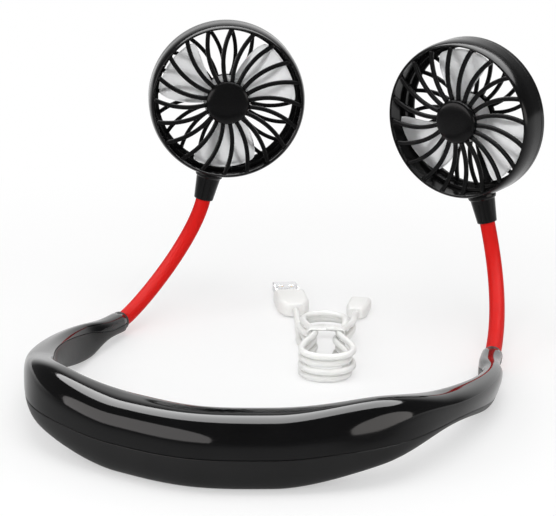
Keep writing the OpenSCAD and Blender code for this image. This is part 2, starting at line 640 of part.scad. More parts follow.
module stem_body(k) at_head(k) translate([0, 0, -stem_back]) rotate([90, 0, 0]) {
    difference() {
        union() {
            translate([0, 0, head_r - lip]) cylinder(r1 = stem_top_r, r2 = stem_low_r, h = stem_len + lip);
            translate([0, 0, head_r - lip]) cylinder(r = stem_top_r + stem_flange, h = 2 * lip);
        }
        rotate([90, 0, 0]) cylinder(r = head_r + fit_gap, h = 3 * head_r, center = true, $fn = 96);
        translate([0, 0, stem_foot - sleeve_seat]) cylinder(r = sleeve_r + fit_gap, h = sleeve_seat + over);
        translate([lead_bore_off, 0, head_r - 2 * lip])
            cylinder(r = lead_r + ball_gap, h = stem_len, $fn = 24);
    }
    difference() {
        translate([0, 0, head_r - head_wall]) cylinder(r = stem_pin_r, h = head_wall + lip, $fn = 32);
        translate([lead_bore_off, 0, head_r - 2 * lip])
            cylinder(r = lead_r + ball_gap, h = stem_len, $fn = 24);
    }
}
module stem(k) color("#1b1b1d") {
    stem_body(k);
    root = foot(k) + head_vec(k, [0, sleeve_seat + over, 0]);
    tail = joint_point(k, links);
    aim(root, tail) {
        cylinder(r = neck_r, h = norm(tail - root), $fn = 24);
        translate([0, 0, norm(tail - root)]) sphere(r = ball_r, $fn = 32);
    }
}

// The impeller and its motor.
blade_steps = 8;
blade_rows = 5;
blade_lean = 12;
fan_rest = [52, 90];
function blade_point(i, j, up) = let (r = cup_r - over + (tip_r - cup_r + over) * j / blade_rows,
    a = (i / blade_steps - 0.5) * blade_angle - blade_lean * (j / blade_rows), u = i / blade_steps)
    [r * cos(a), r * sin(a), fan_low + blade_t + (fan_h - 2 * blade_t) * (1 - u)
        + (up ? blade_t / 2 : -blade_t / 2)];
module blade() {
    n = blade_steps + 1;
    m = blade_rows + 1;
    pts = concat([for (i = [0:n - 1], j = [0:m - 1]) blade_point(i, j, true)],
        [for (i = [0:n - 1], j = [0:m - 1]) blade_point(i, j, false)]);
    o = n * m;
    top = [for (i = [0:n - 2], j = [0:m - 2]) let (a = i * m + j, b = a + 1, c = a + m, d = c + 1)
        each [[a, d, b], [a, c, d]]];
    low = [for (f = top) [o + f[0], o + f[2], o + f[1]]];
    edge = concat([for (j = [0:m - 2]) j], [for (i = [0:n - 2]) i * m + m - 1],
        [for (j = [m - 1:-1:1]) (n - 1) * m + j], [for (i = [n - 1:-1:1]) i * m]);
    rim = [for (q = [0:len(edge) - 1]) let (a = edge[q], b = edge[(q + 1) % len(edge)])
        each [[a, o + b, o + a], [a, b, o + b]]];
    polyhedron(pts, concat(top, low, rim), convexity = 6);
}
module impeller(k) color("#f2f3f4") at_head(k) {
    difference() {
        disc(cup_r, fan_low, fan_top);
        difference() {
            disc(cup_r - cup_t, fan_low - over, fan_top - cup_top_t);
            disc(pin_boss_r, fan_top - cup_top_t - pin_boss_h, fan_top);
        }
        disc(shaft_r, fan_low - over, fan_top - cup_top_t / 2);
    }
    for (i = [0:blades - 1]) rotate([0, 0, i * 360 / blades + fan_rest[k]]) blade();
}
module magnet(k) color("#6b6f75") at_head(k)
    hoop(cup_r - cup_t - fit_gap, cup_r - cup_t - magnet_t, fan_top - cup_top_t - pin_boss_h / 2 - magnet_h,
        fan_top - cup_top_t - pin_boss_h / 2);
module shaft(k) color("#c4c7cb") at_head(k)
    disc(shaft_r - fit_gap / 5, bush_floor + rotor_gap, fan_top - cup_top_t / 2);
module stator(k) color("#a5562c") at_head(k) difference() {
    hoop(cup_r - cup_t - magnet_t - rotor_gap, boss_r + fit_gap, stator_low + fit_gap, stator_low + stator_h);
    for (i = [0:slots - 1]) rotate([0, 0, i * 360 / slots])
        translate([shoulder_r, -slot_w / 2, fan_low]) cube([cup_r, slot_w, fan_h]);
}
module motor_board(k) color("#1f6b3a") at_head(k) difference() {
    hoop(cup_r - 2 * cup_t, shoulder_r + fit_gap, board_low + fit_gap, board_z);
    at_motor_screws() disc(motor_screw_r + fit_gap, board_low - over, board_z + over);
}
module bush(k) color("#b58a4a") at_head(k) hoop(bush_r, shaft_r - fit_gap / 5 + shaft_gap,
    bush_floor + fit_gap, boss_top - face_gap);
module at_motor_screws() for (i = [0:2]) rotate([0, 0, i * 120 + 60])
    translate([(standoff_r + standoff_in_r) / 2, 0, 0]) children();
module motor_screws(k) color("#8f9296") at_head(k) at_motor_screws() {
    disc(motor_screw_r, board_low - motor_screw_len + fit_gap, board_z + fit_gap);
    disc(motor_screw_head, board_z + fit_gap, board_z + fit_gap + motor_screw_head / 2);
}

// The charging cable: wound into a hank that a tie holds at its waist. It lies on the table behind the
// closed end.
// In the hank's own frame +Y points along its runs, towards both plugs.
cable_r = 1.5;
hank_at = [13, 41, 0];
hank_turn = 14;
hank_run = 22;
hank_out_r = 13;
hank_in_r = 9.4;
hank_layers = 4;
hank_step = 3.45;
waist_share = 0.46;
waist_y = 12;
tie_w = 5;
tie_t = 0.6;
tie_ease = 0.04;
hank_parts = 24;
climb_from = 0.9;
function ease(u) = u <= 0 ? 0 : u >= 1 ? 1 : u * u * (3 - 2 * u);
function lap(q, r) = q < 0.25 ? [r * cos(q * 720), hank_run + r * sin(q * 720)]
    : q < 0.5 ? [-r, hank_run - (q - 0.25) * 8 * hank_run]
    : q < 0.75 ? [-r * cos((q - 0.5) * 720), -hank_run - r * sin((q - 0.5) * 720)]
    : [r, (q - 0.75) * 8 * hank_run - hank_run];
function hank_point(i) = let (layer = min(floor(i / hank_parts), hank_layers - 1), q = i / hank_parts - layer,
    r = layer % 2 == 0 ? hank_out_r + (hank_in_r - hank_out_r) * q : hank_in_r + (hank_out_r - hank_in_r) * q,
    p = lap(q, r), w = exp(-p[1] * p[1] / waist_y / waist_y),
    up = layer < hank_layers - 1 ? ease((q - climb_from) / (1 - climb_from)) : 0)
    [p[0] * (1 - (1 - waist_share) * w), p[1], cable_r + hank_step * (layer + up) + (tie_t + face_gap) * w];
hank_first = hank_parts / 4;
hank_last = hank_parts * hank_layers;
hank_points = [for (i = [hank_first:hank_last]) hank_point(i)];
// The smallest gap between two places of the wound cable that are not neighbours.
near_points = 5;
function least(v) = min([for (i = [0:len(v) - 1], j = [i + near_points:1:len(v) - 1]) norm(v[i] - v[j])])
    - 2 * cable_r;
module at_hank() color("#f4f4f2") translate(hank_at) rotate([0, 0, hank_turn]) children();
module cable_hank() at_hank() tube(hank_points, cable_r, 6, [0, 0, 1]);
module cable_tie() at_hank() translate([0, tie_w / 2, 0]) rotate([90, 0, 0]) linear_extrude(tie_w) {
    in_w = hank_out_r * (waist_share + tie_ease) + cable_r + face_gap;
    in_h = tie_t + 2 * face_gap + 2 * cable_r + hank_step * (hank_layers - 1);
    difference() {
        translate([-in_w - tie_t, 0]) square([2 * in_w + 2 * tie_t, in_h + tie_t]);
        translate([-in_w, tie_t - face_gap / 2]) square([2 * in_w, in_h - tie_t]);
    }
}

// The free ends: from the hank to each plug, along round points chosen by hand.
usb_at = [-14, 62, 4];
usb_turn = 8;
micro_at = [15, 60, 3.4];
micro_turn = -10;
run_a = [[-12.1, 22, 1.5], [-12.12, 28, 1.5], [-12.2, 34, 1.6], [-12.5, 40, 2], [-12.8, 46, 2.7],
    [-13.1, 52, 3.5], [-13.5, 57, 4], [-14, 62, 4]];
run_b = [[13, 22, 11.85], [13, 27, 11.4], [13.05, 32, 10], [13.1, 37, 8.2], [13.3, 42, 6.4], [13.6, 47, 4.8],
    [14, 52, 3.8], [14.4, 56, 3.4], [15, 60, 3.4]];
usb_body = [15.5, 8, 24];
usb_shell = [12, 4.5, 18.5];
micro_body = [10.5, 6.8, 19];
micro_shell = [6.9, 1.9, 5.5];
shell_t = 0.4;
plug_round = 2;
module at_plug(at, turn) at_hank() translate(at) rotate([0, 0, turn]) rotate([-90, 0, 0]) children();
module plug_block(size, from) translate([0, 0, from]) linear_extrude(size[2] - from) hull()
    for (x = [-1, 1], y = [-1, 1]) translate([x * (size[0] / 2 - plug_round), y * (size[1] / 2 - plug_round)])
        circle(r = plug_round, $fn = 32);
module plug_shell(size, from) translate([0, 0, from + fit_gap]) difference() {
    translate([-size[0] / 2, -size[1] / 2, 0]) cube(size);
    translate([shell_t - size[0] / 2, shell_t - size[1] / 2, shell_t])
        cube([size[0] - 2 * shell_t, size[1] - 2 * shell_t, size[2]]);
}
module cable_run_a() at_hank() tube(run_a, cable_r, 8, [0, 0, 1]);
module cable_run_b() at_hank() tube(run_b, cable_r, 8, [0, 0, 1]);
module usb_plug_body() at_plug(usb_at, usb_turn) plug_block(usb_body, 0);
module usb_plug_shell() at_plug(usb_at, usb_turn) color("#c9ccd0") plug_shell(usb_shell, usb_body[2]);
module micro_plug_body() at_plug(micro_at, micro_turn) plug_block(micro_body, 0);
module micro_plug_shell() at_plug(micro_at, micro_turn) color("#c9ccd0")
    plug_shell(micro_shell, micro_body[2]);

echo(least_gap_in_hank = least(hank_points));

upper_shell();
lower_shell();
collar(0);  // left_collar
collar(1);  // right_collar
battery_cells();
cell_cradles();
cell_pads();
battery_leads();
charge_board();
charge_port();
port_tongue();
switch_board();
tact_switch();
power_button();
indicator_lens();
shell_screws();
motor_leads();
sleeve(0);  // left_sleeve
core_link(0, 1);  // left_link_1
core_link(0, 2);  // left_link_2
core_link(0, 3);  // left_link_3
core_link(0, 4);  // left_link_4
core_link(0, 5);  // left_link_5
sleeve(1);  // right_sleeve
core_link(1, 1);  // right_link_1
core_link(1, 2);  // right_link_2
core_link(1, 3);  // right_link_3
core_link(1, 4);  // right_link_4
core_link(1, 5);  // right_link_5
front_shell(0);  // left_front_shell
hub_cap(0);  // left_hub_cap
rear_shell(0);  // left_rear_shell
stem(0);  // left_stem
impeller(0);  // left_impeller
magnet(0);  // left_magnet
shaft(0);  // left_shaft
stator(0);  // left_stator
motor_board(0);  // left_motor_board
bush(0);  // left_bush
front_shell(1);  // right_front_shell
hub_cap(1);  // right_hub_cap
rear_shell(1);  // right_rear_shell
stem(1);  // right_stem
impeller(1);  // right_impeller
magnet(1);  // right_magnet
shaft(1);  // right_shaft
stator(1);  // right_stator
motor_board(1);  // right_motor_board
bush(1);  // right_bush
motor_screws(0);  // motor_screws_left
motor_screws(1);  // motor_screws_right
cable_hank();
cable_tie();
cable_run_a();
cable_run_b();
usb_plug_body();
usb_plug_shell();
micro_plug_body();
micro_plug_shell();
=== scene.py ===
import json
import math
from collections import namedtuple

import bmesh
import bpy
import numpy as np
from mathutils import Matrix, Vector

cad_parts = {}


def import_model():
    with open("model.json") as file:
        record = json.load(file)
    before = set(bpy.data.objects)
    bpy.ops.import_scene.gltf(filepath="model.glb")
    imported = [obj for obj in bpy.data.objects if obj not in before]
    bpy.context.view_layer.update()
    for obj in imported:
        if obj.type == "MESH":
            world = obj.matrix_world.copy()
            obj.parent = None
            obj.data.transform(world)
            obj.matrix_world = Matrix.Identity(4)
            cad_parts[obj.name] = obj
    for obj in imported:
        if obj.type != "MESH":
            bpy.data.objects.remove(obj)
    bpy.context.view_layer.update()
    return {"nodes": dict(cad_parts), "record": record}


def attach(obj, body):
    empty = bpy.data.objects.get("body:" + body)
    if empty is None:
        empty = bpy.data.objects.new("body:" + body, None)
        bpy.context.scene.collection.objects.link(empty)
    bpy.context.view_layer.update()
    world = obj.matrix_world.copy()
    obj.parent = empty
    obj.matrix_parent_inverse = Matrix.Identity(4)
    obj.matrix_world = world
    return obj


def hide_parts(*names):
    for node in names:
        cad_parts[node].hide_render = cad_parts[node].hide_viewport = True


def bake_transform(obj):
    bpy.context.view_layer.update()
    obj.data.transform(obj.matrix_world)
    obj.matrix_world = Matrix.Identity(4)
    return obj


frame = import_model()
MM = 0.001
SIDES = ("left", "right")
scene = bpy.context.scene


# Camera, fitted to the photo: angles in degrees, the place it aims at in millimetres
CAMERA_TURN = 14.57
CAMERA_PITCH = 15.3
CAMERA_ROLL = 0.85
CAMERA_AIM = (-6.97, 29.5, 48.85)
CAMERA_DISTANCE = 0.85
CAMERA_CLIP = (0.02, 20)
FOCAL_PIXELS = 1910
PHOTO_WIDTH = 556
SENSOR = 36


def make_camera():
    turn = math.radians(CAMERA_TURN)
    pitch = math.radians(CAMERA_PITCH)
    roll = math.radians(CAMERA_ROLL)
    right = Vector((math.cos(turn), math.sin(turn), 0))
    up = Vector((-math.sin(turn) * math.sin(pitch), math.cos(turn) * math.sin(pitch), math.cos(pitch)))
    back = Vector((math.sin(turn) * math.cos(pitch), -math.cos(turn) * math.cos(pitch), math.sin(pitch)))
    rolled_right = math.cos(roll) * right + math.sin(roll) * up
    rolled_up = -math.sin(roll) * right + math.cos(roll) * up
    data = bpy.data.cameras.new("camera")
    data.sensor_width = SENSOR
    data.lens = FOCAL_PIXELS / PHOTO_WIDTH * SENSOR
    data.clip_start, data.clip_end = CAMERA_CLIP
    camera = bpy.data.objects.new("camera", data)
    scene.collection.objects.link(camera)
    m = Matrix((rolled_right, rolled_up, back)).transposed().to_4x4()
    m.translation = Vector(CAMERA_AIM) * MM + back * CAMERA_DISTANCE
    camera.matrix_world = m
    scene.camera = camera


make_camera()


# Materials. The first four numbers are the sockets of a Mix node that mixes colours.
MIX_FACTOR = 0
MIX_A = 6
MIX_B = 7
MIX_RESULT = 2
BROAD_SCALE = 55
SMEAR_SCALE = 130
BUMP_DEPTH = 0.0004
LIFT = 0.002


def fresh_tree(owner):
    owner.use_nodes = True
    tree = owner.node_tree
    for n in list(tree.nodes):
        tree.nodes.remove(n)
    return tree


def shader_node(tree, kind, **values):
    """A shader node with some inputs set. An underscore in an input's name stands for a space."""
    n = tree.nodes.new("ShaderNode" + kind)
    for name, value in values.items():
        n.inputs[name.replace("_", " ")].default_value = value
    return n


def material(name, color, rough, grain, bump, spread, stretch=None, **extra):
    """A moulded or machined surface. Noise gives its fine grain, uneven gloss and slight colour changes."""
    made = bpy.data.materials.new(name)
    tree = fresh_tree(made)
    link = tree.links.new
    shader = shader_node(tree, "BsdfPrincipled", **extra)
    link(shader.outputs[0], shader_node(tree, "OutputMaterial").inputs[0])
    place = shader_node(tree, "TexCoord").outputs["Object"]
    if stretch:
        mapping = shader_node(tree, "Mapping", Scale=stretch)
        link(place, mapping.inputs["Vector"])
        place = mapping.outputs["Vector"]

    broad = shader_node(tree, "TexNoise", Scale=BROAD_SCALE, Detail=4)
    smear = shader_node(tree, "TexNoise", Scale=SMEAR_SCALE, Detail=5, Roughness=0.65)
    fine = shader_node(tree, "TexNoise", Scale=grain, Detail=3)
    for noise in (broad, smear, fine):
        link(place, noise.inputs["Vector"])

    mix = shader_node(tree, "Mix")
    mix.data_type = "RGBA"
    mix.inputs[MIX_A].default_value = (*[c * (1 - spread) for c in color], 1)
    mix.inputs[MIX_B].default_value = (*[min(1.0, c * (1 + spread) + LIFT) for c in color], 1)
    link(broad.outputs["Fac"], mix.inputs[MIX_FACTOR])
    link(mix.outputs[MIX_RESULT], shader.inputs["Base Color"])

    gloss = shader_node(tree, "MapRange", To_Min=rough[0], To_Max=rough[1])
    link(smear.outputs["Fac"], gloss.inputs["Value"])
    link(gloss.outputs["Result"], shader.inputs["Roughness"])

    bumps = shader_node(tree, "Bump", Strength=bump, Distance=BUMP_DEPTH)
    link(fine.outputs["Fac"], bumps.inputs["Height"])
    link(bumps.outputs["Normal"], shader.inputs["Normal"])
    return made


# Each has a name, a colour, its least and greatest roughness, the grain, the bump and the colour's spread.
GLOSS = material("gloss_black_plastic", (0.002, 0.002, 0.0022), (0.06, 0.1), 400, 0.01, 0.25,
                 Specular_IOR_Level=0.25)
SATIN = material("satin_black_plastic", (0.007, 0.007, 0.0072), (0.3, 0.42), 2600, 0.1, 0.15,
                 Specular_IOR_Level=0.2)
HEAD = material("head_black_plastic", (0.003, 0.003, 0.0032), (0.13, 0.19), 2400, 0.05, 0.2,
                Specular_IOR_Level=0.15)
RED = material("red_silicone", (0.56, 0.006, 0.004), (0.42, 0.52), 1500, 0.05, 0.1,
               Specular_IOR_Level=0.06, Subsurface_Weight=0.06, Subsurface_Scale=1.0,
               Subsurface_Radius=(0.002, 0.0004, 0.0003))
WHITE = material("white_impeller_plastic", (0.9, 0.905, 0.91), (0.28, 0.4), 1200, 0.04, 0.03,
                 Specular_IOR_Level=0.25, Transmission_Weight=0.75, Subsurface_Weight=0.3,
                 Subsurface_Scale=1.0, Subsurface_Radius=(0.004, 0.004, 0.004))
CABLE = material("white_cable_jacket", (0.8, 0.8, 0.785), (0.36, 0.5), 1800, 0.06, 0.03,
                 Specular_IOR_Level=0.2, Subsurface_Weight=0.15, Subsurface_Scale=1.0,
                 Subsurface_Radius=(0.002, 0.002, 0.0018))
STEEL = material("turned_steel", (0.5, 0.5, 0.52), (0.28, 0.42), 900, 0.06, 0.08, Metallic=1.0)
NICKEL = material("nickel_plate", (0.72, 0.72, 0.73), (0.16, 0.3), 700, 0.03, 0.06, (1, 1, 6), Metallic=1.0)
BRONZE = material("sintered_bronze", (0.5, 0.32, 0.14), (0.38, 0.55), 1800, 0.15, 0.15, Metallic=1.0)
COPPER = material("copper_windings", (0.62, 0.25, 0.11), (0.25, 0.4), 1600, 0.3, 0.2, (0.2, 0.2, 3),
                  Metallic=1.0)
CELL = material("cell_wrap", (0.03, 0.14, 0.42), (0.25, 0.35), 600, 0.03, 0.1)
BOARD = material("green_solder_mask", (0.012, 0.11, 0.035), (0.22, 0.35), 1100, 0.08, 0.25)
FOAM = material("grey_foam", (0.07, 0.07, 0.075), (0.85, 0.95), 1500, 0.6, 0.3)
LENS = material("clear_lens", (0.8, 0.85, 0.88), (0.08, 0.14), 500, 0.02, 0.03, Transmission_Weight=0.7)
LEAD = material("lead_insulation", (0.45, 0.04, 0.03), (0.4, 0.5), 900, 0.05, 0.1)
TONGUE = material("black_contact_carrier", (0.012, 0.012, 0.012), (0.4, 0.5), 1500, 0.05, 0.2)
GOLD = material("gold_contacts", (0.85, 0.6, 0.25), (0.2, 0.3), 900, 0.03, 0.1, Metallic=1.0)

BY_SLOT = {
    "gloss_black": GLOSS, "satin_black": SATIN, "black_head": HEAD, "red_silicone": RED,
    "white_plastic": WHITE, "cable_white": CABLE, "steel": STEEL, "nickel": NICKEL, "bronze": BRONZE,
    "copper": COPPER, "cell": CELL, "circuit_board": BOARD, "foam": FOAM, "clear_lens": LENS, "lead": LEAD}
for part in frame["record"]["subparts"]:
    node = part["node"]
    shown = frame["nodes"][node].data.materials
    shown.clear()
    shown.append(TONGUE if node == "port_tongue" else BY_SLOT[part["material_slot"]])


# Mesh helpers. A part is a pair of points, in millimetres in the row frame, and faces.
SAME_POINT = 2e-6
NEAR_AXIS = 0.001
BORE_AXIS = 0.0001
ARC_SHARE = 0.49
PIECE_WEIGHT = 80
BAND_WEIGHT = 60
METAL_WEIGHT = 50


def merge_points(me):
    """Joins points that lie on one another, and turns the faces outwards."""
    bm = bmesh.new()
    bm.from_mesh(me)
    bmesh.ops.remove_doubles(bm, verts=bm.verts, dist=SAME_POINT)
    bmesh.ops.recalc_face_normals(bm, faces=bm.faces)
    bm.to_mesh(me)
    bm.free()


def raw_mesh(name, part):
    me = bpy.data.meshes.new(name)
    me.from_pydata([tuple(p * MM) for p in np.asarray(part[0], float)], [], [list(f) for f in part[1]])
    return me


def weigh_normals(o, weight):
    o.modifiers.new("weighted", "WEIGHTED_NORMAL").weight = weight


def mesh_piece(name, part, mat, body=None, replaces=(), normals=None, weight=PIECE_WEIGHT):
    """A smooth-shaded piece. Given normals are kept, and its points then aren't merged."""
    me = raw_mesh(name, part)
    if normals is None:
        merge_points(me)
    me.validate()
    me.polygons.foreach_set("use_smooth", [True] * len(me.polygons))
    if normals is not None:
        me.normals_split_custom_set_from_vertices([tuple(n) for n in normals])
    me.materials.append(mat)
    o = bpy.data.objects.new(name, me)
    scene.collection.objects.link(o)
    if weight:
        weigh_normals(o, weight)
    if replaces:
        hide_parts(*replaces)
    if body:
        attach(o, body)
    return o


def grid_faces(n, m):
    """Quads between n loops of m points each, the points of a loop joined round."""
    out = []
    for i in range(n - 1):
        for j in range(m):
            k = (j + 1) % m
            a = i * m
            out.append((a + j, a + k, a + m + k, a + m + j))
    return out


def skin_faces(n, m):
    """The quads between n loops of m points each, and a flat cap on the first and the last loop."""
    caps = [tuple(range(m - 1, -1, -1)), tuple((n - 1) * m + j for j in range(m))]
    return grid_faces(n, m) + caps


def rounded(corners, steps):
    """Corners given as (x, y, radius), each replaced by an arc."""
    out = []
    count = len(corners)
    for i in range(count):
        x, y, radius = corners[i]
        corner = np.array([x, y], float)
        if radius <= 0:
            out.append(corner)
            continue
        back = np.array(corners[i - 1][:2], float) - corner
        ahead = np.array(corners[(i + 1) % count][:2], float) - corner
        back_run = np.linalg.norm(back)
        ahead_run = np.linalg.norm(ahead)
        back = back / back_run
        ahead = ahead / ahead_run
        half = math.acos(max(-1, min(1, float(back @ ahead)))) / 2
        reach = min(radius / math.tan(half), back_run * ARC_SHARE, ahead_run * ARC_SHARE)
        radius = reach * math.tan(half)
        middle = (back + ahead) / np.linalg.norm(back + ahead)
        centre = corner + middle * (radius / math.sin(half))
        first = corner + back * reach - centre
        last = corner + ahead * reach - centre
        for q in range(steps + 1):
            share = q / steps
            spoke = first * (1 - share) + last * share
            out.append(centre + spoke / np.linalg.norm(spoke) * radius)
    return np.array(out)


def rounded_box(x, y, radius, steps):
    """The outline of a rounded rectangle with the half sizes x and y."""
    return rounded([(-x, -y, radius), (x, -y, radius), (x, y, radius), (-x, y, radius)], steps)


def lathe(corners, sides=96, steps=4):
    """A closed profile of (radius, height, corner radius), turned about Z."""
    profile = rounded(corners, steps)
    n = len(profile)
    pts = []
    for k in range(sides):
        a = 2 * math.pi * k / sides
        pts += [(r * math.cos(a), r * math.sin(a), z) for r, z in profile]
    faces = []
    for k in range(sides):
        b = (k + 1) % sides
        for j in range(n):
            q = (j + 1) % n
            faces.append((k * n + j, b * n + j, b * n + q, k * n + q))
    return np.array(pts), faces


def join_parts(parts):
    pts = []
    faces = []
    start = 0
    for p, f in parts:
        pts.append(np.asarray(p, float))
        faces += [tuple(i + start for i in q) for q in f]
        start += len(p)
    return np.concatenate(pts), faces


def section_sweep(path, frames, section):
    """A section of (u, v) points carried along a path with frames of (u axis, v axis), its ends capped."""
    pts = [p + axes[0] * u + axes[1] * v for p, axes in zip(path, frames) for u, v in section]
    return np.array(pts), skin_faces(len(path), len(section))


def block(size, at, radius):
    """A box whose edges along Z are rounded and whose ends are eased."""
    width, depth, height = size
    ramp = [(0, 0.7), (0.3, 0.2), (1, 0)]
    levels = [(radius * rise, radius * inset) for rise, inset in ramp]
    levels += [(height - radius * rise, radius * inset) for rise, inset in reversed(ramp)]
    layers = []
    for z, inset in levels:
        ring = rounded_box(width / 2 - inset, depth / 2 - inset, radius, 3)
        layers.append(np.column_stack([ring, np.full(len(ring), z)]))
    return np.concatenate(layers) + np.array(at, float), skin_faces(len(layers), len(layers[0]))


def apply_to(matrix, pts):
    m = np.array(matrix)
    return np.asarray(pts) @ m[:3, :3].T + m[:3, 3]


def placed(matrix, part):
    return apply_to(matrix, part[0]), part[1]


def cut(o, part):
    """Cuts a closed solid out of a piece."""
    me = raw_mesh("cutter", part)
    merge_points(me)
    cutter = bpy.data.objects.new("cutter", me)
    scene.collection.objects.link(cutter)
    modifier = o.modifiers.new("cut", "BOOLEAN")
    modifier.operation = "DIFFERENCE"
    modifier.solver = "EXACT"
    modifier.object = cutter
    with bpy.context.temp_override(object=o, active_object=o, selected_objects=[o]):
        bpy.ops.object.modifier_apply(modifier="cut")
    bpy.data.objects.remove(cutter)
    bpy.data.meshes.remove(me)


def bore(o, place, radius, low, high, sides):
    """Cuts a round hole along the Z axis of a place."""
    profile = [(BORE_AXIS, low, 0), (radius, low, 0), (radius, high, 0), (BORE_AXIS, high, 0)]
    cut(o, placed(place, lathe(profile, sides)))


# The neckband's curve and sections, with the sizes and shares of part.scad
SPAN = 185
LENGTH = 163.5
FRONT = 118.3
HIGH = 32.5
THICK = 24
WALL = 1.6
GAP = 0.15
END_H = 6.6
END_R = 4.6
POWER = 2.8
SEAM_LIMIT = 0.97
X_SHARE = [0, 0.314, 0.693, 0.912, 1, 0.963, 0.953]
Y_SHARE = [0, 0.039, 0.135, 0.357, 0.783, 0.911, 1]
TOP_SHARE = [0.905, 0.905, 1, 0.785, 0.475, 0.385]
LOW_SHARE = [-0.009, -0.009, 0.2, 0.37, -0.006, 0.1]
HALF_SHARE = [0.5, 0.5, 0.333, 0.292, 0.196, 0.186]
OUTER_SHARE = [0.425, 0.425, 0.45, 0.49, 0.195, 0.2]
INNER_SHARE = [0.985, 0.985, 0.985, 0.732, 0.332, 0.235]
TILT = [1.5, 1.5, 10, -4, -19, 0, 0]
plan = np.array([[x * SPAN / 2, y * LENGTH - FRONT] for x, y in zip(X_SHARE, Y_SHARE)])
chord = np.linalg.norm(np.diff(plan, axis=0), axis=1)
knot = np.concatenate([[0], np.cumsum(chord)])
RUN = knot[-1]
Station = namedtuple("Station", "middle ahead out up half_width half_height outer_seam inner_seam")


def slopes(v, smooth):
    """The slopes at the knots. Unless smooth is asked for, no curve overshoots a knot."""
    n = len(chord)
    d = [(v[i + 1] - v[i]) / chord[i] for i in range(n)]
    if smooth:
        mean = [(d[i - 1] * chord[i] + d[i] * chord[i - 1]) / (chord[i - 1] + chord[i]) for i in range(1, n)]
        return [np.array([1.0, 0.0])] + mean + [1.5 * d[-1] - 0.5 * mean[-1]]
    inner = [0 if d[i - 1] * d[i] <= 0 else 2 * d[i - 1] * d[i] / (d[i - 1] + d[i]) for i in range(1, n)]
    return [0] + inner + [d[-1]]


def lane(values, smooth=False):
    v = np.asarray(values, float)
    return v, slopes(v, smooth)


def at_span(t):
    i = int(min(len(chord) - 1, max(0, np.searchsorted(knot, t, side="right") - 1)))
    return i, chord[i], (t - knot[i]) / chord[i]


def along(track, t):
    """The value of a lane at a distance along the plan, by a cubic between two knots."""
    v, m = track
    i, h, u = at_span(t)
    return ((2 * u ** 3 - 3 * u * u + 1) * v[i] + (u ** 3 - 2 * u * u + u) * h * m[i]
            + (3 * u * u - 2 * u ** 3) * v[i + 1] + (u ** 3 - u * u) * h * m[i + 1])


def slope_at(track, t):
    v, m = track
    i, h, u = at_span(t)
    steep = (6 * u * u - 6 * u) / h * (v[i] - v[i + 1])
    return steep + (3 * u * u - 4 * u + 1) * m[i] + (3 * u * u - 2 * u) * m[i + 1]


PLAN = lane(plan, True)
TOP = lane([s * HIGH for s in TOP_SHARE] + [END_H + END_R])
LOW = lane([s * HIGH for s in LOW_SHARE] + [END_H - END_R])
HALF = lane([s * THICK for s in HALF_SHARE] + [END_R])
OUTER = lane([s * HIGH for s in OUTER_SHARE] + [END_H])
INNER = lane([s * HIGH for s in INNER_SHARE] + [END_H])
TILTS = lane(TILT)


def seam_angle(z, high, low):
    y = min(SEAM_LIMIT, max(-SEAM_LIMIT, (z - (high + low) / 2) / (high - low) * 2))
    return math.degrees(math.asin(math.copysign(abs(y) ** (POWER / 2), y)))


def station(t):
    """The band's section at a distance along its plan: its middle, axes, half sizes and seam angles."""
    p = along(PLAN, t)
    d = slope_at(PLAN, t)
    d = d / np.linalg.norm(d)
    high = along(TOP, t)
    low = along(LOW, t)
    tilt = math.radians(along(TILTS, t))
    return Station(
        middle=np.array([p[0], p[1], (high + low) / 2]),
        ahead=np.array([d[0], d[1], 0]),
        out=np.array([d[1] * math.cos(tilt), -d[0] * math.cos(tilt), math.sin(tilt)]),
        up=np.array([-d[1] * math.sin(tilt), d[0] * math.sin(tilt), math.cos(tilt)]),
        half_width=along(HALF, t),
        half_height=(high - low) / 2,
        outer_seam=seam_angle(along(OUTER, t), high, low),
        inner_seam=180 - seam_angle(along(INNER, t), high, low))


def signed_power(v, power):
    return math.copysign(abs(v) ** power, v)


def rim(s, angle, inset):
    """A point on a section's rim, a square with round corners, moved inwards by an inset."""
    a = math.radians(angle)
    return (s.middle + (s.half_width - inset) * signed_power(math.cos(a), 2 / POWER) * s.out
            + (s.half_height - inset) * signed_power(math.sin(a), 2 / POWER) * s.up)


# The two shells
UPPER = 0
LOWER = 1
RIM_STEPS = 46
INNER_STEPS = 14
EDGE_R = 0.34
EDGE_ANGLES = (0, 22.5, 45, 67.5)
BAND_LOOPS = 74


def angles_by_length(s, first, last):
    """The length of the rim between two angles, and a function that turns a length into an angle."""
    fine = np.linspace(first, last, RIM_STEPS * 8)
    pts = np.array([rim(s, a, 0) for a in fine])
    run = np.concatenate([[0], np.cumsum(np.linalg.norm(np.diff(pts, axis=0), axis=1))])
    return run[-1], lambda d: float(np.interp(d, run, fine))


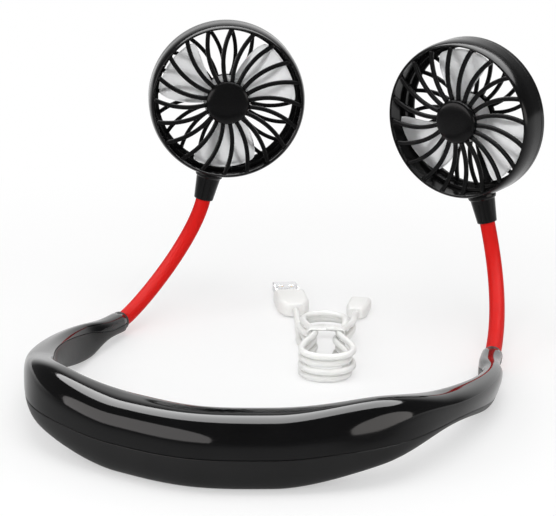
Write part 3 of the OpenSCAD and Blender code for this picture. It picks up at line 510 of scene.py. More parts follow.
def shell_loop(t, side, part):
    """A loop round one shell: its outer face between two rounded edges, and its inner face back again."""
    s = station(t)
    first, last = (s.outer_seam, s.inner_seam) if part == UPPER else (s.inner_seam, s.outer_seam + 360)
    total, angle = angles_by_length(s, first, last)
    edge = GAP / 2
    head = []
    for degrees in EDGE_ANGLES:
        a = math.radians(degrees)
        head.append((edge + EDGE_R * (1 - math.cos(a)), EDGE_R * (1 - math.sin(a))))
    open_run = total - 2 * edge - 2 * EDGE_R
    body = [(edge + EDGE_R + open_run * i / RIM_STEPS, 0) for i in range(RIM_STEPS + 1)]
    tail = [(total - d, inset) for d, inset in reversed(head)]
    outer = [rim(s, angle(d), inset) for d, inset in head + body + tail]
    inner_run = total - 2 * edge
    inner = [rim(s, angle(edge + inner_run * i / INNER_STEPS), WALL) for i in range(INNER_STEPS, -1, -1)]
    loop = np.array(outer + inner)
    if side < 0:
        loop[:, 0] *= -1
    if part == LOWER:
        loop[:, 2] = np.maximum(loop[:, 2], 0)
    return loop


def band(part, name, mat):
    """One shell, from the left end round the closed end to the right end, with a cap on both ends."""
    half = BAND_LOOPS
    loops = [shell_loop(abs(i) / half * RUN, -1 if i < 0 else 1, part) for i in range(-half, half + 1)]
    n = len(loops)
    m = len(loops[0])
    faces = grid_faces(n, m)
    outer_count = m - INNER_STEPS - 1
    for base, flip in ((0, False), ((n - 1) * m, True)):
        for j in range(outer_count - 1):
            a = base + j
            b = base + j + 1
            c = base + m - 1 - int(round((j + 1) / (outer_count - 1) * INNER_STEPS))
            d = base + m - 1 - int(round(j / (outer_count - 1) * INNER_STEPS))
            cap = [a, b, c, d] if c != d else [a, b, d]
            faces.append(tuple(reversed(cap)) if flip else tuple(cap))
    return mesh_piece(name, (np.concatenate(loops), faces), mat, weight=None)


# The shells are cut for the inlet in the right arm, the button and the light in the left one, and the screws
ARM_ANGLE = 6.0
PORT_SHARE = 0.79
PORT_CUT = (7.8, 2.9, 4.8)
PORT_DEPTH = 4.0
BUTTON_HOLE_R = 2.6
LIGHT_HOLE_R = 0.85
LIGHT_OFF = 6
HOLE_REACH = 3
SCREW_SHARES = (0.245, 0.57)
SCREW_IN_SHARE = 0.42
SCREW_HOLE_R = 1.55
SCREW_HOLE_LOW = -2
SCREW_HOLE_STOP = 3


def arm_frame(side):
    """A place on an arm's outer face: X along the arm, Y up the face and Z out of it."""
    s = station(PORT_SHARE * RUN)
    p = rim(s, ARM_ANGLE, 0)
    m = Matrix([(s.ahead[i], s.up[i], s.out[i], p[i]) for i in range(3)] + [(0, 0, 0, 1)])
    return Matrix.Scale(-1, 4, (1, 0, 0)) @ m if side < 0 else m


def cut_screw_holes(o):
    for share in SCREW_SHARES:
        s = station(share * RUN)
        x, y = (s.middle - (s.half_width - WALL) * SCREW_IN_SHARE * s.out)[:2]
        for side in (-1, 1):
            place = np.eye(4)
            place[:2, 3] = (x * side, y)
            bore(o, place, SCREW_HOLE_R, SCREW_HOLE_LOW, s.middle[2] - SCREW_HOLE_STOP, 32)


def neckband():
    upper = band(UPPER, "upper_shell_gloss", GLOSS)
    lower = band(LOWER, "lower_shell_satin", SATIN)
    left_arm = arm_frame(-1)
    cut(upper, placed(arm_frame(1), block(PORT_CUT, (0, 0, -PORT_DEPTH), 0.5)))
    bore(upper, left_arm, BUTTON_HOLE_R, -HOLE_REACH, HOLE_REACH, 40)
    bore(upper, left_arm @ Matrix.Translation((LIGHT_OFF, 0, 0)), LIGHT_HOLE_R, -HOLE_REACH, HOLE_REACH, 24)
    cut_screw_holes(lower)
    for o, node in ((upper, "upper_shell"), (lower, "lower_shell")):
        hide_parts(node)
        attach(o, "neckband")
        weigh_normals(o, BAND_WEIGHT)


# The power button
BUTTON_R = 2.5
BUTTON_TOP = 0.4
BUTTON_LOW = -1.85
FLANGE = (6.8, 3, 0.5)


def power_button():
    """A round cap with a shallow dish, and the flange that holds it in."""
    cap = lathe([(NEAR_AXIS, BUTTON_LOW, 0), (BUTTON_R, BUTTON_LOW, 0), (BUTTON_R, BUTTON_TOP, 0.3),
                 (1.75, BUTTON_TOP, 0.12), (1.6, 0.22, 0.2), (NEAR_AXIS, 0.16, 0)], 48)
    flange = block(FLANGE, (0, 0, BUTTON_LOW - FLANGE[2]), 0.3)
    mesh_piece("power_button_cap", placed(arm_frame(-1), join_parts([cap, flange])), SATIN,
               "power_button", ["power_button"])


neckband()
power_button()


# Goosenecks
HEAD_AT = [np.array([-50, 96.5, 103.8]), np.array([58.1, 99.5, 101.1])]
HEAD_TURN = [(20, -0.5, -12.5), (-20, -2.5, 14)]
RISE = (-10, 13)
KEEP = (13, 35)
STEM_RUN = 23
STEM_FOOT = 50.5
STEM_BACK = 12
COLLAR_LEN = 3
LINKS = 5
JOINT_OUT = 1.6
CURVE_SHARES = 49
SLEEVE_R = 3.6
SLEEVE_SEAT = 2.55
SLEEVE_SIDES = 32
SLEEVE_LOOPS = 22
END = station(RUN)


def unit(v):
    return v / np.linalg.norm(v)


def spin_z(v, degrees):
    c = math.cos(math.radians(degrees))
    s = math.sin(math.radians(degrees))
    return np.array([v[0] * c - v[1] * s, v[0] * s + v[1] * c, v[2]])


def spin_x(v, degrees):
    c = math.cos(math.radians(degrees))
    s = math.sin(math.radians(degrees))
    return np.array([v[0], v[1] * c - v[2] * s, v[1] * s + v[2] * c])


def head_vector(k, v):
    """A direction in a head's own frame, turned into the row frame."""
    turn, pitch, lean = HEAD_TURN[k]
    return spin_z(spin_x(spin_z(v, lean), 90 - pitch), turn)


def frame_of(columns, place):
    m = np.eye(4)
    m[:3, :3] = np.array(columns).T
    m[:3, 3] = place
    return m


def head_frame(k):
    """A head's own frame: Z out of the front, Y up, and its origin on the face of the hub disc."""
    return frame_of([head_vector(k, v) for v in ((1, 0, 0), (0, 1, 0), (0, 0, 1))], HEAD_AT[k])


def axis_frame(start, axis):
    """A frame whose Z runs along an axis from a start point."""
    z = unit(axis)
    x = unit(np.cross((0, 0, 1), z))
    return frame_of([x, np.cross(z, x), z], start)


class Neck:
    """The curve of one gooseneck, straight on past both of its ends."""

    def __init__(self, k):
        side = -1 if k == 0 else 1
        rise = math.radians(RISE[k])
        self.axis = np.array([END.ahead[0] * side, END.ahead[1], 0])
        self.face = (END.middle + COLLAR_LEN * END.ahead) * [side, 1, 1]
        first = np.array([self.axis[0] * math.cos(rise), self.axis[1] * math.cos(rise), math.sin(rise)])
        self.foot = HEAD_AT[k] + head_vector(k, (0, -STEM_FOOT, -STEM_BACK))
        self.top = head_vector(k, (0, 1, 0))
        self.handles = [self.face, self.face + first * KEEP[k], self.foot - self.top * STEM_RUN, self.foot]
        self.shares = np.linspace(0, 1, CURVE_SHARES)
        pts = np.array([self.point(u) for u in self.shares])
        self.runs = np.concatenate([[0], np.cumsum(np.linalg.norm(np.diff(pts, axis=0), axis=1))])
        self.length = self.runs[-1]

    def point(self, u):
        b = self.handles
        return (1 - u) ** 3 * b[0] + 3 * (1 - u) ** 2 * u * b[1] + 3 * (1 - u) * u * u * b[2] + u ** 3 * b[3]

    def at(self, s):
        """The place and the direction at a distance from the collar's face."""
        if s <= 0:
            return self.face + s * self.axis, self.axis
        if s >= self.length:
            return self.foot + (s - self.length) * self.top, self.top
        u = float(np.interp(s, self.runs, self.shares))
        b = self.handles
        d = (1 - u) ** 2 * (b[1] - b[0]) + 2 * (1 - u) * u * (b[2] - b[1]) + u * u * (b[3] - b[2])
        return self.point(u), unit(d)

    def joint(self, i):
        return JOINT_OUT + (self.length - 2 * JOINT_OUT) * i / LINKS


def sleeve(k):
    """The silicone sleeve in six lengths along the gooseneck's curve."""
    neck = Neck(k)
    side = SIDES[k]
    middles = [(neck.joint(i) + neck.joint(i + 1)) / 2 for i in range(LINKS)]
    stops = [-SLEEVE_SEAT] + middles + [neck.length + SLEEVE_SEAT]
    for i in range(LINKS + 1):
        pts = []
        normals = []
        for s in np.linspace(stops[i], stops[i + 1], SLEEVE_LOOPS):
            p, d = neck.at(s)
            x = unit(np.cross([1.0, 0, 0], d))
            y = np.cross(d, x)
            for j in range(SLEEVE_SIDES):
                a = 2 * math.pi * j / SLEEVE_SIDES
                normal = math.cos(a) * x + math.sin(a) * y
                pts.append(p + SLEEVE_R * normal)
                normals.append(normal)
        o = mesh_piece(f"{side}_sleeve_{i + 1}", (pts, grid_faces(SLEEVE_LOOPS, SLEEVE_SIDES)), RED,
                       replaces=[f"{side}_sleeve"], normals=normals, weight=None)
        s = neck.joint(i)
        if i == 0:
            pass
        elif i == LINKS:
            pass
        else:
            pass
        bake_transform(o)


# A collar from its spigot, which sits in the arm, to its mouth, which holds the sleeve
COLLAR_LOW = 0.06
COLLAR_TOP = 2.95
COLLAR_FLOOR = 0.3
SPIGOT_LOW = -2.9
SPIGOT_R = 2.55
LEAD_HOLE_R = 0.9
SLEEVE_MOUTH_R = 3.66


def collar(k):
    neck = Neck(k)
    ring = lathe([(4.55, COLLAR_LOW, 0.2), (END_R, COLLAR_TOP, 0.55), (SLEEVE_MOUTH_R, COLLAR_TOP, 0.2),
                  (SLEEVE_MOUTH_R, COLLAR_FLOOR, 0), (LEAD_HOLE_R, COLLAR_FLOOR, 0),
                  (LEAD_HOLE_R, SPIGOT_LOW, 0), (SPIGOT_R, SPIGOT_LOW, 0.2), (SPIGOT_R, COLLAR_LOW, 0)], 64)
    place = axis_frame(neck.face - COLLAR_LEN * neck.axis, neck.axis)
    mesh_piece(f"{SIDES[k]}_collar_ring", placed(place, ring), SATIN, "neckband",
               [f"{SIDES[k]}_collar"])


for k in (0, 1):
    sleeve(k)
    collar(k)


# Fan heads, with the sizes of part.scad
R = 37.5
HEAD_WALL = 1.6
HEAD_DEPTH = 16.4
HUB_PROUD = 1.6
LIP = 1.4
GRILLE = 1.6
OPEN = 35.2
ROUND_DEEP = 8
REAR_OPEN = 32.6
REAR_BITE = 1.1
HUB = 10.3
HUB_PIN_R = 3.1
DISC_R = 11
RING = -HUB_PROUD
FACE = RING - LIP / 3
RING_LOW = FACE - GRILLE
BACK = -HUB_PROUD - HEAD_DEPTH
PART_Z = BACK + HEAD_DEPTH / 6
MOUNT_Z = BACK - GRILLE - 0.9
NEST_R = R - 1.7
FAN_H = 9.6
FAN_TOP = RING_LOW - 1.6
FAN_LOW = FAN_TOP - FAN_H
FAN_REST = (52, 90)
TIP = R - HEAD_WALL - 3.1
CUP = 11.2
BLADES = 3
BLADE_ANGLE = 62
BLADE_LEAN = 12
BLADE_T = 1.1
BLADE_CAMBER = 0.45
BLADE_ROWS = 16
BLADE_COLS = 26
CORNER_IN = 0.14
ROOT_IN = 0.5
SPOKES = 20
SPOKE_TURN = 44.0
SPOKE_SWEEP = 8.5
SPOKE_STEPS = 18
FRONT_SPOKE_W = 2.1
REAR_SPOKE_W = 1.9
OVER = 0.5
RING_SIDES = 160
RING_ARC_STEPS = 5
ARM = (4, 23.2, 2.4)
ARM_Y = -22.1


def arc_spokes(from_r, to_r, width, low, high, hand, round_top, round_low):
    """Curved spokes with rounded edges, as in part.scad."""
    sweep = math.radians(SPOKE_SWEEP)
    end = np.array([to_r * math.cos(sweep), -to_r * math.sin(sweep)])
    chord_angle = math.degrees(math.atan2(end[1], end[0] - from_r))
    radius = np.linalg.norm(end - np.array([from_r, 0])) / 2 / math.sin(math.radians(SPOKE_TURN / 2))
    start = chord_angle + SPOKE_TURN / 2
    start_turn = math.radians(start)
    centre = np.array([from_r + radius * math.sin(start_turn), -radius * math.cos(start_turn)])
    half = width / 2
    section = rounded([(-half, low, round_low), (half, low, round_low), (half, high, round_top),
                       (-half, high, round_top)], 3)
    parts = []
    for i in range(SPOKES):
        turn = 2 * math.pi * i / SPOKES
        spin = np.array([[math.cos(turn), -math.sin(turn)], [math.sin(turn), math.cos(turn)]])
        path = []
        frames = []
        for q in range(SPOKE_STEPS + 1):
            a = math.radians(start + 90 - SPOKE_TURN * q / SPOKE_STEPS)
            out = np.array([math.cos(a), math.sin(a)])
            p = spin @ ((centre + radius * out) * [1, hand])
            out = spin @ (out * [1, hand])
            path.append(np.array([p[0], p[1], 0]))
            frames.append((np.array([out[0], out[1], 0]), np.array([0, 0, 1.0])))
        parts.append(section_sweep(path, frames, section))
    return join_parts(parts)


def blade():
    """One impeller blade: a pitched sector with rounded corners and a slightly cambered face."""
    n = BLADE_COLS + 1
    m = BLADE_ROWS + 1
    root = CUP - ROOT_IN
    top = []
    low = []
    for i in range(n):
        u = i / BLADE_COLS
        corner = 1 - 0.5 * (abs(2 * u - 1) ** 7)
        for j in range(m):
            v = j / BLADE_ROWS
            reach = root + (TIP - CUP + ROOT_IN) * v
            reach = root + (reach - CUP + ROOT_IN) * (1 - CORNER_IN + CORNER_IN * corner * (2 - corner))
            a = math.radians((u - 0.5) * BLADE_ANGLE * (1 - 0.1 * v ** 6) - BLADE_LEAN * v)
            z = FAN_LOW + BLADE_T + (FAN_H - 2 * BLADE_T) * (1 - u) + BLADE_CAMBER * math.sin(math.pi * u) * v
            slim = BLADE_T / 2 * (0.45 + 0.55 * min(1, 6 * min(u, 1 - u) + 0.1)) * (1 - 0.35 * v)
            top.append((reach * math.cos(a), reach * math.sin(a), z + slim))
            low.append((reach * math.cos(a), reach * math.sin(a), z - slim))
    other = n * m
    faces = []
    for i in range(n - 1):
        for j in range(m - 1):
            a = i * m + j
            faces.append((a, a + m, a + m + 1, a + 1))
            faces.append((other + a, other + a + 1, other + a + m + 1, other + a + m))
    edge = list(range(m - 1))
    edge += [i * m + m - 1 for i in range(n - 1)]
    edge += [(n - 1) * m + j for j in range(m - 1, 0, -1)]
    edge += [i * m for i in range(n - 1, 0, -1)]
    for a, b in zip(edge, edge[1:] + edge[:1]):
        faces.append((a, b, other + b, other + a))
    return np.array(top + low), faces


def front_shell():
    """The ring, which rounds over into its opening, the front spokes and the seat of the hub disc."""
    crown = OPEN + LIP / 3
    curve = [(crown + (R - crown) * math.cos(q), RING - ROUND_DEEP * (1 - math.sin(q)), 0)
             for q in np.radians(np.arange(0, 91, 6))]
    inside = [(OPEN, FACE, 0.25), (OPEN, RING_LOW, 0.3), (R - HEAD_WALL, RING_LOW, 0.2),
              (R - HEAD_WALL, PART_Z, 0.1)]
    ring = lathe([(R, PART_Z, 0.25)] + curve + inside, RING_SIDES, RING_ARC_STEPS)
    spokes = arc_spokes(HUB - OVER, OPEN + OVER, FRONT_SPOKE_W, RING_LOW + 0.1, FACE - 0.05, 1, 0.55, 0.3)
    seat = lathe([(HUB, RING_LOW, 0.3), (HUB, FACE + 0.03, 0), (HUB_PIN_R, FACE + 0.03, 0),
                  (HUB_PIN_R, RING_LOW, 0)])
    return join_parts([ring, spokes, seat])


def hub_disc():
    top = FACE + 0.1
    return lathe([(NEAR_AXIS, 0, 0), (5.2, -0.04, 0), (8.0, -0.2, 0), (9.2, -0.5, 0.5), (10.0, -1.0, 0.5),
                  (HUB, -1.5, 0.3), (HUB, top, 0), (NEAR_AXIS, top, 0)])


def rear_shell():
    """The rear ring, its spokes, the disc that carries the motor, and the arm that hides the leads."""
    rim_z = PART_Z - 0.07
    nest_z = PART_Z + 2
    low = BACK - GRILLE
    inner_r = R - 2 * HEAD_WALL
    ring = lathe([(R, rim_z, 0.25), (NEST_R, rim_z, 0), (NEST_R, nest_z, 0.2), (inner_r, nest_z, 0.2),
                  (inner_r, BACK, 0.1), (REAR_OPEN, BACK, 0.3), (REAR_OPEN, low, 0.4), (R - LIP, low, 0.5),
                  (R, BACK, 0.6)], RING_SIDES, RING_ARC_STEPS)
    spokes = arc_spokes(DISC_R - OVER, REAR_OPEN + REAR_BITE, REAR_SPOKE_W, low, BACK, -1, 0.3, 0.55)
    disc = lathe([(NEAR_AXIS, MOUNT_Z, 0), (8.2, MOUNT_Z, 0.3), (8.6, MOUNT_Z + 0.35, 0.2),
                  (9.1, MOUNT_Z + 0.35, 0.2), (9.5, MOUNT_Z, 0.2), (DISC_R, MOUNT_Z, 0.6),
                  (DISC_R, BACK, 0.2), (10, BACK, 0.2), (10, MOUNT_Z + 1.8, 0.1), (6.8, MOUNT_Z + 1.8, 0),
                  (6.8, MOUNT_Z + 3.4, 0.1), (5, MOUNT_Z + 3.4, 0.1), (4.0, MOUNT_Z + 1.9, 0),
                  (4.0, FAN_LOW + 1, 0.2), (2.8, FAN_LOW + 1, 0), (2.8, FAN_TOP - 3.5, 0.2),
                  (1.85, FAN_TOP - 3.5, 0.1), (1.85, MOUNT_Z + 2.2, 0), (NEAR_AXIS, MOUNT_Z + 2.2, 0)])
    arm = block(ARM, (0, ARM_Y, BACK - ARM[2]), 0.5)
    return join_parts([ring, spokes, disc, arm])


def stem():
    """The tapered stem, turned on its side so that it hangs below the head."""
    body = lathe([(SLEEVE_MOUTH_R, STEM_FOOT - 2.7, 0), (SLEEVE_MOUTH_R, STEM_FOOT, 0.2),
                  (4.65, STEM_FOOT, 0.45), (4.8, STEM_FOOT - 1.4, 0.3), (5.86, 39.3, 0.4), (6.5, 38.7, 0.4),
                  (6.7, 37.9, 0.3), (6.7, 36.3, 0.2), (3.4, 36.3, 0), (3.4, STEM_FOOT - 2.9, 0)], 72)
    return placed(frame_of([(1.0, 0, 0), (0, 0, 1), (0, -1, 0)], (0, 0, -STEM_BACK)), body)


def fan_wheel(rest):
    """The hub cup and its blades, with the first blade at a given angle."""
    cup = lathe([(NEAR_AXIS, FAN_TOP, 0), (CUP - 1.6, FAN_TOP, 0), (CUP - 0.6, FAN_TOP - 0.25, 0.5),
                 (CUP, FAN_TOP - 1.2, 0.5), (CUP, FAN_LOW, 0.2), (CUP - 1, FAN_LOW, 0.2),
                 (CUP - 1, FAN_TOP - 1.2, 0.2), (2.2, FAN_TOP - 1.2, 0), (2.2, FAN_TOP - 3.2, 0.1),
                 (0.78, FAN_TOP - 3.2, 0), (0.78, FAN_TOP - 0.6, 0), (NEAR_AXIS, FAN_TOP - 0.6, 0)])
    parts = [cup]
    for i in range(BLADES):
        a = math.radians(i * 360 / BLADES + rest)
        spin = frame_of([(math.cos(a), math.sin(a), 0), (-math.sin(a), math.cos(a), 0), (0, 0, 1)], (0, 0, 0))
        parts.append(placed(spin, blade()))
    return join_parts(parts)


def fan_head(k):
    side = SIDES[k]
    place = head_frame(k)
    head = f"{side}_head"
    for name, part, node in (("front_ring_and_grille", front_shell(), "front_shell"),
                             ("hub_disc", hub_disc(), "hub_cap"),
                             ("rear_ring_and_grille", rear_shell(), "rear_shell"),
                             ("stem_body", stem(), "stem")):
        mesh_piece(f"{side}_{name}", placed(place, part), HEAD, head, [f"{side}_{node}"])
    mesh_piece(f"{side}_fan_wheel", placed(place, fan_wheel(FAN_REST[k])), WHITE,
               f"{side}_rotor", [f"{side}_impeller"])


for k in (0, 1):
    fan_head(k)


# Charging cable, in the hank's own frame. Its two free runs are chosen points.
CABLE_R = 1.5
HANK_AT = (13, 41, 0)
HANK_TURN = 14
HANK_RUN = 22
OUT_R = 13
IN_R = 9.4
LAYERS = 4
STEP = 3.45
WAIST = 0.46
WAIST_Y = 12
LAP_POINTS = 24
FIRST_POINT = 7
TIE_T = 0.6
TIE_W = 5
TIE_LOOPS = 9
RUN_A = [[-12.1, 22, 1.5], [-12.12, 28, 1.5], [-12.2, 34, 1.6], [-12.5, 40, 2], [-12.8, 46, 2.7],
         [-13.1, 52, 3.5], [-13.5, 57, 4], [-14, 62, 4]]
RUN_B = [[13, 22, 11.85], [13, 27, 11.4], [13.05, 32, 10], [13.1, 37, 8.2], [13.3, 42, 6.4], [13.6, 47, 4.8],
         [14, 52, 3.8], [14.4, 56, 3.4], [15, 60, 3.4]]
TURN_A = 8
TURN_B = -10


def ease(u):
    return 0 if u <= 0 else 1 if u >= 1 else u * u * (3 - 2 * u)


def lap(q, r):
    """A point of one lap at a share q. Each quarter is a half circle or a straight side, in turn."""
    if q < 0.25:
        a = math.radians(q * 720)
        return r * math.cos(a), HANK_RUN + r * math.sin(a)
    if q < 0.5:
        return -r, HANK_RUN - (q - 0.25) * 8 * HANK_RUN
    if q < 0.75:
        a = math.radians((q - 0.5) * 720)
        return -r * math.cos(a), -HANK_RUN - r * math.sin(a)
    return r, (q - 0.75) * 8 * HANK_RUN - HANK_RUN


def hank_point(i):
    """A point of the stacked laps. Each rises in its last tenth, and all are drawn in at the waist."""
    layer = min(i // LAP_POINTS, LAYERS - 1)
    q = i / LAP_POINTS - layer
    r = OUT_R + (IN_R - OUT_R) * q if layer % 2 == 0 else IN_R + (OUT_R - IN_R) * q
    x, y = lap(q, r)
    drawn = math.exp(-y * y / WAIST_Y ** 2)
    up = ease((q - 0.9) * 10) if layer < LAYERS - 1 else 0
    return [x * (1 - (1 - WAIST) * drawn), y, CABLE_R + STEP * (layer + up) + (TIE_T + 0.1) * drawn]


def hank_frame():
    return Matrix.Translation(HANK_AT) @ Matrix.Rotation(math.radians(HANK_TURN), 4, "Z")


def plug_frame(at, turn):
    flat = Matrix.Rotation(math.radians(-90), 4, "X")
    return hank_frame() @ Matrix.Translation(at) @ Matrix.Rotation(math.radians(turn), 4, "Z") @ flat


def cable():
    """The whole cable as one curve. Returns it with its points and its length."""
    laps = [hank_point(i) for i in range(FIRST_POINT, LAYERS * LAP_POINTS)]
    pts = apply_to(hank_frame(), np.array(RUN_A[::-1] + laps + RUN_B)) * MM
    curve = bpy.data.curves.new("charging_cable", "CURVE")
    curve.dimensions = "3D"
    spline = curve.splines.new("BEZIER")
    spline.bezier_points.add(len(pts) - 1)
    for point, p in zip(spline.bezier_points, pts):
        point.co = p
        point.handle_left_type = "AUTO"
        point.handle_right_type = "AUTO"
    spline.resolution_u = 5
    curve.bevel_depth = CABLE_R * MM
    curve.bevel_resolution = 5
    curve.use_fill_caps = True
    curve.materials.append(CABLE)
    o = bpy.data.objects.new("charging_cable", curve)
    scene.collection.objects.link(o)
    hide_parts("cable_hank", "cable_run_a", "cable_run_b")
    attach(o, "neckband")
    return o, pts, float(np.linalg.norm(np.diff(pts, axis=0), axis=1).sum())


def cable_piece(name, place, part, replaces=()):
    return mesh_piece(name, placed(place, part), CABLE, "neckband", replaces)


def tie():
    """The tie round the waist: a band, a small buckle, and its tail laid flat."""
    half = OUT_R * (WAIST + 0.04) + CABLE_R + 0.1
    top = TIE_T + 0.2 + 2 * CABLE_R + STEP * (LAYERS - 1)
    far = half + TIE_T
    crest = top + TIE_T
    floor_z = TIE_T - 0.05
    outer = rounded([(-far, 0, 1.6), (far, 0, 1.6), (far, crest, 2.0), (-far, crest, 2.0)], 6)
    inner = rounded([(-half, floor_z, 1.2), (half, floor_z, 1.2), (half, top, 1.6), (-half, top, 1.6)], 6)
    across = np.linspace(-TIE_W / 2, TIE_W / 2, TIE_LOOPS)
    loops = []
    for i, y in enumerate(across):
        narrow = 0.01 if i in (0, TIE_LOOPS - 1) else 0
        crown = 0.1 * math.cos(math.pi * y / TIE_W)
        loops.append([(x * (1 - narrow), y, max(0.0, z + (crown if z > 5 else 0))) for x, z in outer])
    m = len(outer)
    base = TIE_LOOPS * m
    last = base - m
    faces = grid_faces(TIE_LOOPS, m)
    following = [(j, (j + 1) % m) for j in range(m)]
    faces += [(base + j, base + m + j, base + m + k, base + k) for j, k in following]
    faces += [(j, base + j, base + k, k) for j, k in following]
    faces += [(last + j, last + k, base + m + k, base + m + j) for j, k in following]
    inside = [(x, y, z) for y in (across[0], across[-1]) for x, z in inner]
    strap = (np.concatenate(loops + [inside]), faces)
    buckle = block((4.4, TIE_W + 0.6, 1.3), (half * 0.25, 0, top + 0.25), 0.5)
    tail = block((3.2, TIE_W - 0.8, 0.45), (half * 0.25 + 2.9, 0, crest + 0.12), 0.2)
    return cable_piece("cable_tie_band", hank_frame(), join_parts([strap, buckle, tail]), ["cable_tie"])


def tapered(layers, radius):
    """A skin through rounded rectangles of (z, width, height)."""
    rows = []
    for z, w, h in layers:
        ring = rounded_box(w / 2, h / 2, min(radius, w * 0.48, h * 0.48), 5)
        rows.append(np.column_stack([ring, np.full(len(ring), z)]))
    return np.concatenate(rows), skin_faces(len(rows), len(rows[0]))


def metal_shell(outer, inner, start, shoulder, end, floor_z, mouth_share):
    """A folded metal shell, open at its front end, from its outer and inner outlines."""
    rows = [(outer, start), (outer, shoulder), (outer * mouth_share, end), (inner, end), (inner, floor_z)]
    m = len(outer)
    pts = np.concatenate([np.column_stack([line, np.full(m, z)]) for line, z in rows])
    return pts, skin_faces(len(rows), m)


def plug(name, place, layers, corner, relief_r, shell, windows):
    """A plug's moulded housing with its strain relief, and its metal shell with the latch windows cut out."""
    relief = lathe([(1.6, 0, 0), (relief_r[0], 0.2, 0.2), (relief_r[1], 2.5, 0), (1.6, 2.5, 0)], 40)
    housing = cable_piece(f"{name}_housing", place, join_parts([tapered(layers, corner), relief]),
                          [f"{name}_body"])
    metal = mesh_piece(f"{name}_metal", placed(place, shell), NICKEL, weight=None)
    for window in windows:
        cut(metal, placed(place, window))
    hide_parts(f"{name}_shell")
    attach(metal, "neckband")
    weigh_normals(metal, METAL_WEIGHT)
    return [housing, metal]


# The USB-A plug: the sizes of its metal shell, and the housing's layers as (z, width, height)
USB_W = 12
USB_H = 4.5
USB_WALL = 0.4
USB_START = 24.05
USB_LEN = 18.5
USB_LAYERS = [(0, 8.2, 5.4), (0.3, 9.4, 6.2), (2.4, 12.2, 7.2), (6.5, 15.0, 7.9), (8.5, 15.5, 8.0),
              (22.6, 15.5, 8.0), (23.6, 15.0, 7.6), (24, 14.2, 6.8)]


def usb_plug():
    place = plug_frame(RUN_A[-1], TURN_A)
    outer = rounded_box(USB_W / 2, USB_H / 2, 0.5, 4)
    inner = rounded_box(USB_W / 2 - USB_WALL, USB_H / 2 - USB_WALL, 0.3, 4)
    end = USB_START + USB_LEN
    shell = metal_shell(outer, inner, USB_START, end - 0.25, end, USB_START + USB_WALL, 0.985)
    windows = [block((2.3, 8, 2.3), (x, 0, 33.6), 0.2) for x in (-2.6, 2.6)]
    made = plug("usb_plug", place, USB_LAYERS, 2.2, (2.4, 2.9), shell, windows)
    made.append(cable_piece("usb_plug_tongue", place, block((11.0, 1.9, 17.2), (0, 0.75, 24.5), 0.3)))
    pads = join_parts([block((1.1, 0.25, 8.5), (x, -0.25, 32.5), 0.1) for x in (-3.5, -1.2, 1.2, 3.5)])
    made.append(mesh_piece("usb_plug_contacts", placed(place, pads), GOLD, "neckband"))
    return made


# The micro-USB plug: the same, and the corners cut off one broad side of its metal shell
MICRO_W = 6.9
MICRO_H = 1.9
MICRO_WALL = 0.35
MICRO_CORNER = (0.9, 0.8)
MICRO_START = 19.05
MICRO_END = 24.55
MICRO_LAYERS = [(0, 6.4, 4.6), (0.3, 7.2, 5.2), (2.4, 8.8, 6.2), (5.2, 10.3, 6.8), (6.5, 10.5, 6.8),
                (17.8, 10.5, 6.8), (18.6, 10.1, 6.4), (19, 9.4, 5.8)]


def micro_plug():
    x = MICRO_W / 2
    y = MICRO_H / 2
    cut_x, cut_y = MICRO_CORNER
    outer = np.array([(-x + cut_x, -y), (x - cut_x, -y), (x, -y + cut_y), (x, y), (-x, y), (-x, -y + cut_y)])
    inner = outer * [(MICRO_W - 2 * MICRO_WALL) / MICRO_W, (MICRO_H - 2 * MICRO_WALL) / MICRO_H]
    shell = metal_shell(outer, inner, MICRO_START, MICRO_END - 0.2, MICRO_END, MICRO_START + 0.55, 0.98)
    windows = [block((0.75, 5, 3.0), (side, 0, 20.4), 0.15) for side in (-2.3, 2.3)]
    return plug("micro_plug", plug_frame(RUN_B[-1], TURN_B), MICRO_LAYERS, 1.9, (2.2, 2.7), shell, windows)


cord, cord_points, cord_length = cable()
tie_piece = tie()
plug_pieces = usb_plug() + micro_plug()


# Floor and world
FLOOR_REACH = 5.0
FLOOR_Z = -0.0002
ROOM = 0.62
ROOM_IN_GLOSS = 0.12
FLOOR_IN_GLOSS = 0.2
FRONT_REACH = 0.3
FADE = (0.12, 0.42)
FADE_LEAST = 0.45
BACKDROP = (0.65, 0.95)


def math_node(tree, kind, a, b):
    n = shader_node(tree, "Math")
    n.operation = kind
    tree.links.new(a, n.inputs[0])
    tree.links.new(b, n.inputs[1])
    return n.outputs[0]


def smooth_range(tree, value, start, end, least=0):
    """Goes smoothly from the least result at the start value to 1 at the end value."""
    n = shader_node(tree, "MapRange", From_Min=start, From_Max=end, To_Min=least, To_Max=1)
    n.interpolation_type = "SMOOTHSTEP"
    tree.links.new(value, n.inputs["Value"])
    return n.outputs["Result"]


def mix_shader(tree, factor, first, second):
    n = shader_node(tree, "MixShader")
    for i, source in enumerate((factor, first, second)):
        tree.links.new(source, n.inputs[i])
    return n.outputs[0]


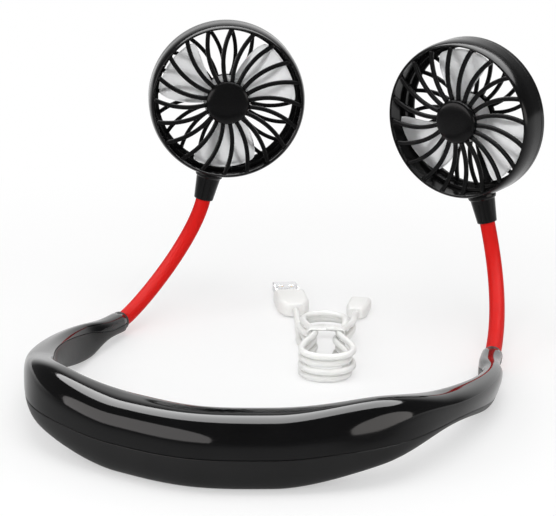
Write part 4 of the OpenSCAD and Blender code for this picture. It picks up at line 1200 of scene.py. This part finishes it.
def floor_material():
    """Takes the shadow near the object, fades to plain white further out, and is dim in front to gloss."""
    made = bpy.data.materials.new("pale_floor")
    tree = fresh_tree(made)
    matt = shader_node(tree, "BsdfDiffuse", Color=(0.93, 0.93, 0.93, 1))
    white = shader_node(tree, "Emission", Strength=1.0)
    dim = shader_node(tree, "Emission", Strength=FLOOR_IN_GLOSS)
    place = shader_node(tree, "TexCoord").outputs["Object"]
    axes = shader_node(tree, "SeparateXYZ")
    tree.links.new(place, axes.inputs[0])
    front = smooth_range(tree, axes.outputs["Y"], FRONT_REACH, -FRONT_REACH)
    distance = shader_node(tree, "VectorMath")
    distance.operation = "LENGTH"
    tree.links.new(place, distance.inputs[0])
    far = smooth_range(tree, distance.outputs["Value"], *FADE, FADE_LEAST)
    ray = shader_node(tree, "LightPath").outputs
    seen = math_node(tree, "MAXIMUM", math_node(tree, "MAXIMUM", ray["Is Camera Ray"], ray["Is Glossy Ray"]),
                     ray["Is Transmission Ray"])
    glossy_front = math_node(tree, "MULTIPLY", ray["Is Glossy Ray"], front)
    glow = mix_shader(tree, glossy_front, white.outputs[0], dim.outputs[0])
    shown = mix_shader(tree, math_node(tree, "MULTIPLY", seen, far), matt.outputs[0], glow)
    tree.links.new(shown, shader_node(tree, "OutputMaterial").inputs[0])
    return made


def floor():
    me = bpy.data.meshes.new("studio_floor")
    corners = [(x * FLOOR_REACH, y * FLOOR_REACH, FLOOR_Z) for x, y in ((-1, -1), (1, -1), (1, 1), (-1, 1))]
    me.from_pydata(corners, [], [(0, 1, 2, 3)])
    me.materials.append(floor_material())
    o = bpy.data.objects.new("studio_floor", me)
    scene.collection.objects.link(o)


def world():
    """White to the camera and through clear plastic. Gloss shows a white backdrop and a dimmer room."""
    scene.world = bpy.data.worlds.new("studio")
    tree = fresh_tree(scene.world)
    axes = shader_node(tree, "SeparateXYZ")
    tree.links.new(shader_node(tree, "TexCoord").outputs["Generated"], axes.inputs[0])
    ray = shader_node(tree, "LightPath").outputs
    straight = math_node(tree, "MAXIMUM", ray["Is Camera Ray"], ray["Is Transmission Ray"])
    plain = (1, 1, 1, 1)
    lit = shader_node(tree, "Background", Color=plain, Strength=ROOM)
    seen = shader_node(tree, "Background", Color=plain, Strength=1.0)
    room = shader_node(tree, "Background", Color=plain)
    tree.links.new(smooth_range(tree, axes.outputs["Y"], *BACKDROP, ROOM_IN_GLOSS), room.inputs["Strength"])
    indirect = mix_shader(tree, ray["Is Glossy Ray"], lit.outputs[0], room.outputs[0])
    shown = mix_shader(tree, straight, indirect, seen.outputs[0])
    tree.links.new(shown, shader_node(tree, "OutputWorld").inputs[0])


# Lamps. A lamp isn't mirrored in glossy surfaces. A card is mirrored in them and lights nothing else.
OBJECT_MIDDLE = (0, 0, 0.04)
CARD_AIM = (0, -0.1, 0.03)
CARD_DISTANCE = 1.5
WARM = (1, 0.96, 0.95)
WARMER = (1, 0.96, 0.93)


def area_light(name, shape, place, aim, size, radiance, color):
    data = bpy.data.lights.new(name, "AREA")
    data.shape = shape
    data.size, data.size_y = size
    area = data.size * data.size_y * (math.pi / 4 if shape == "ELLIPSE" else 1)
    data.energy = radiance * math.pi * area
    data.color = color
    o = bpy.data.objects.new(name, data)
    scene.collection.objects.link(o)
    o.location = place
    o.rotation_mode = "QUATERNION"
    o.rotation_quaternion = (Vector(aim) - Vector(place)).to_track_quat("-Z", "Y")
    return o


def lamp(name, place, aim, size, radiance):
    area_light(name, "RECTANGLE", place, aim, (size, size), radiance, (1, 1, 1)).visible_glossy = False


def card(name, place, aim, size, radiance, color=(1, 1, 1)):
    o = area_light(name, "ELLIPSE", place, aim, size, radiance, color)
    o.visible_diffuse = False
    o.visible_transmission = False


def around(azimuth, elevation):
    """A card's place: azimuth 0 is towards -Y and 90 towards +X."""
    a = math.radians(azimuth)
    e = math.radians(elevation)
    x = CARD_DISTANCE * math.sin(a) * math.cos(e)
    return x, -CARD_DISTANCE * math.cos(a) * math.cos(e), CARD_DISTANCE * math.sin(e) + CARD_AIM[2]


floor()
world()
lamp("soft_top", (0.1, -0.15, 1.3), OBJECT_MIDDLE, 0.9, 2.0)
lamp("soft_left", (-0.9, -0.6, 0.9), OBJECT_MIDDLE, 0.5, 2.0)
lamp("soft_front", (0.25, -1.35, 0.55), (0, 0, 0.08), 1.0, 3.5)
card("card_overhead", (0.02, 0.3, 1.0), (0.02, 0.3, 0.0), (2.2, 1.15), 11.0)
card("card_front_left", around(-36, 6), CARD_AIM, (2.4, 1.4), 3.7, WARM)
card("card_front_right", around(74, 4), CARD_AIM, (1.3, 0.9), 3.7, WARMER)
scene.view_settings.view_transform = "Standard"
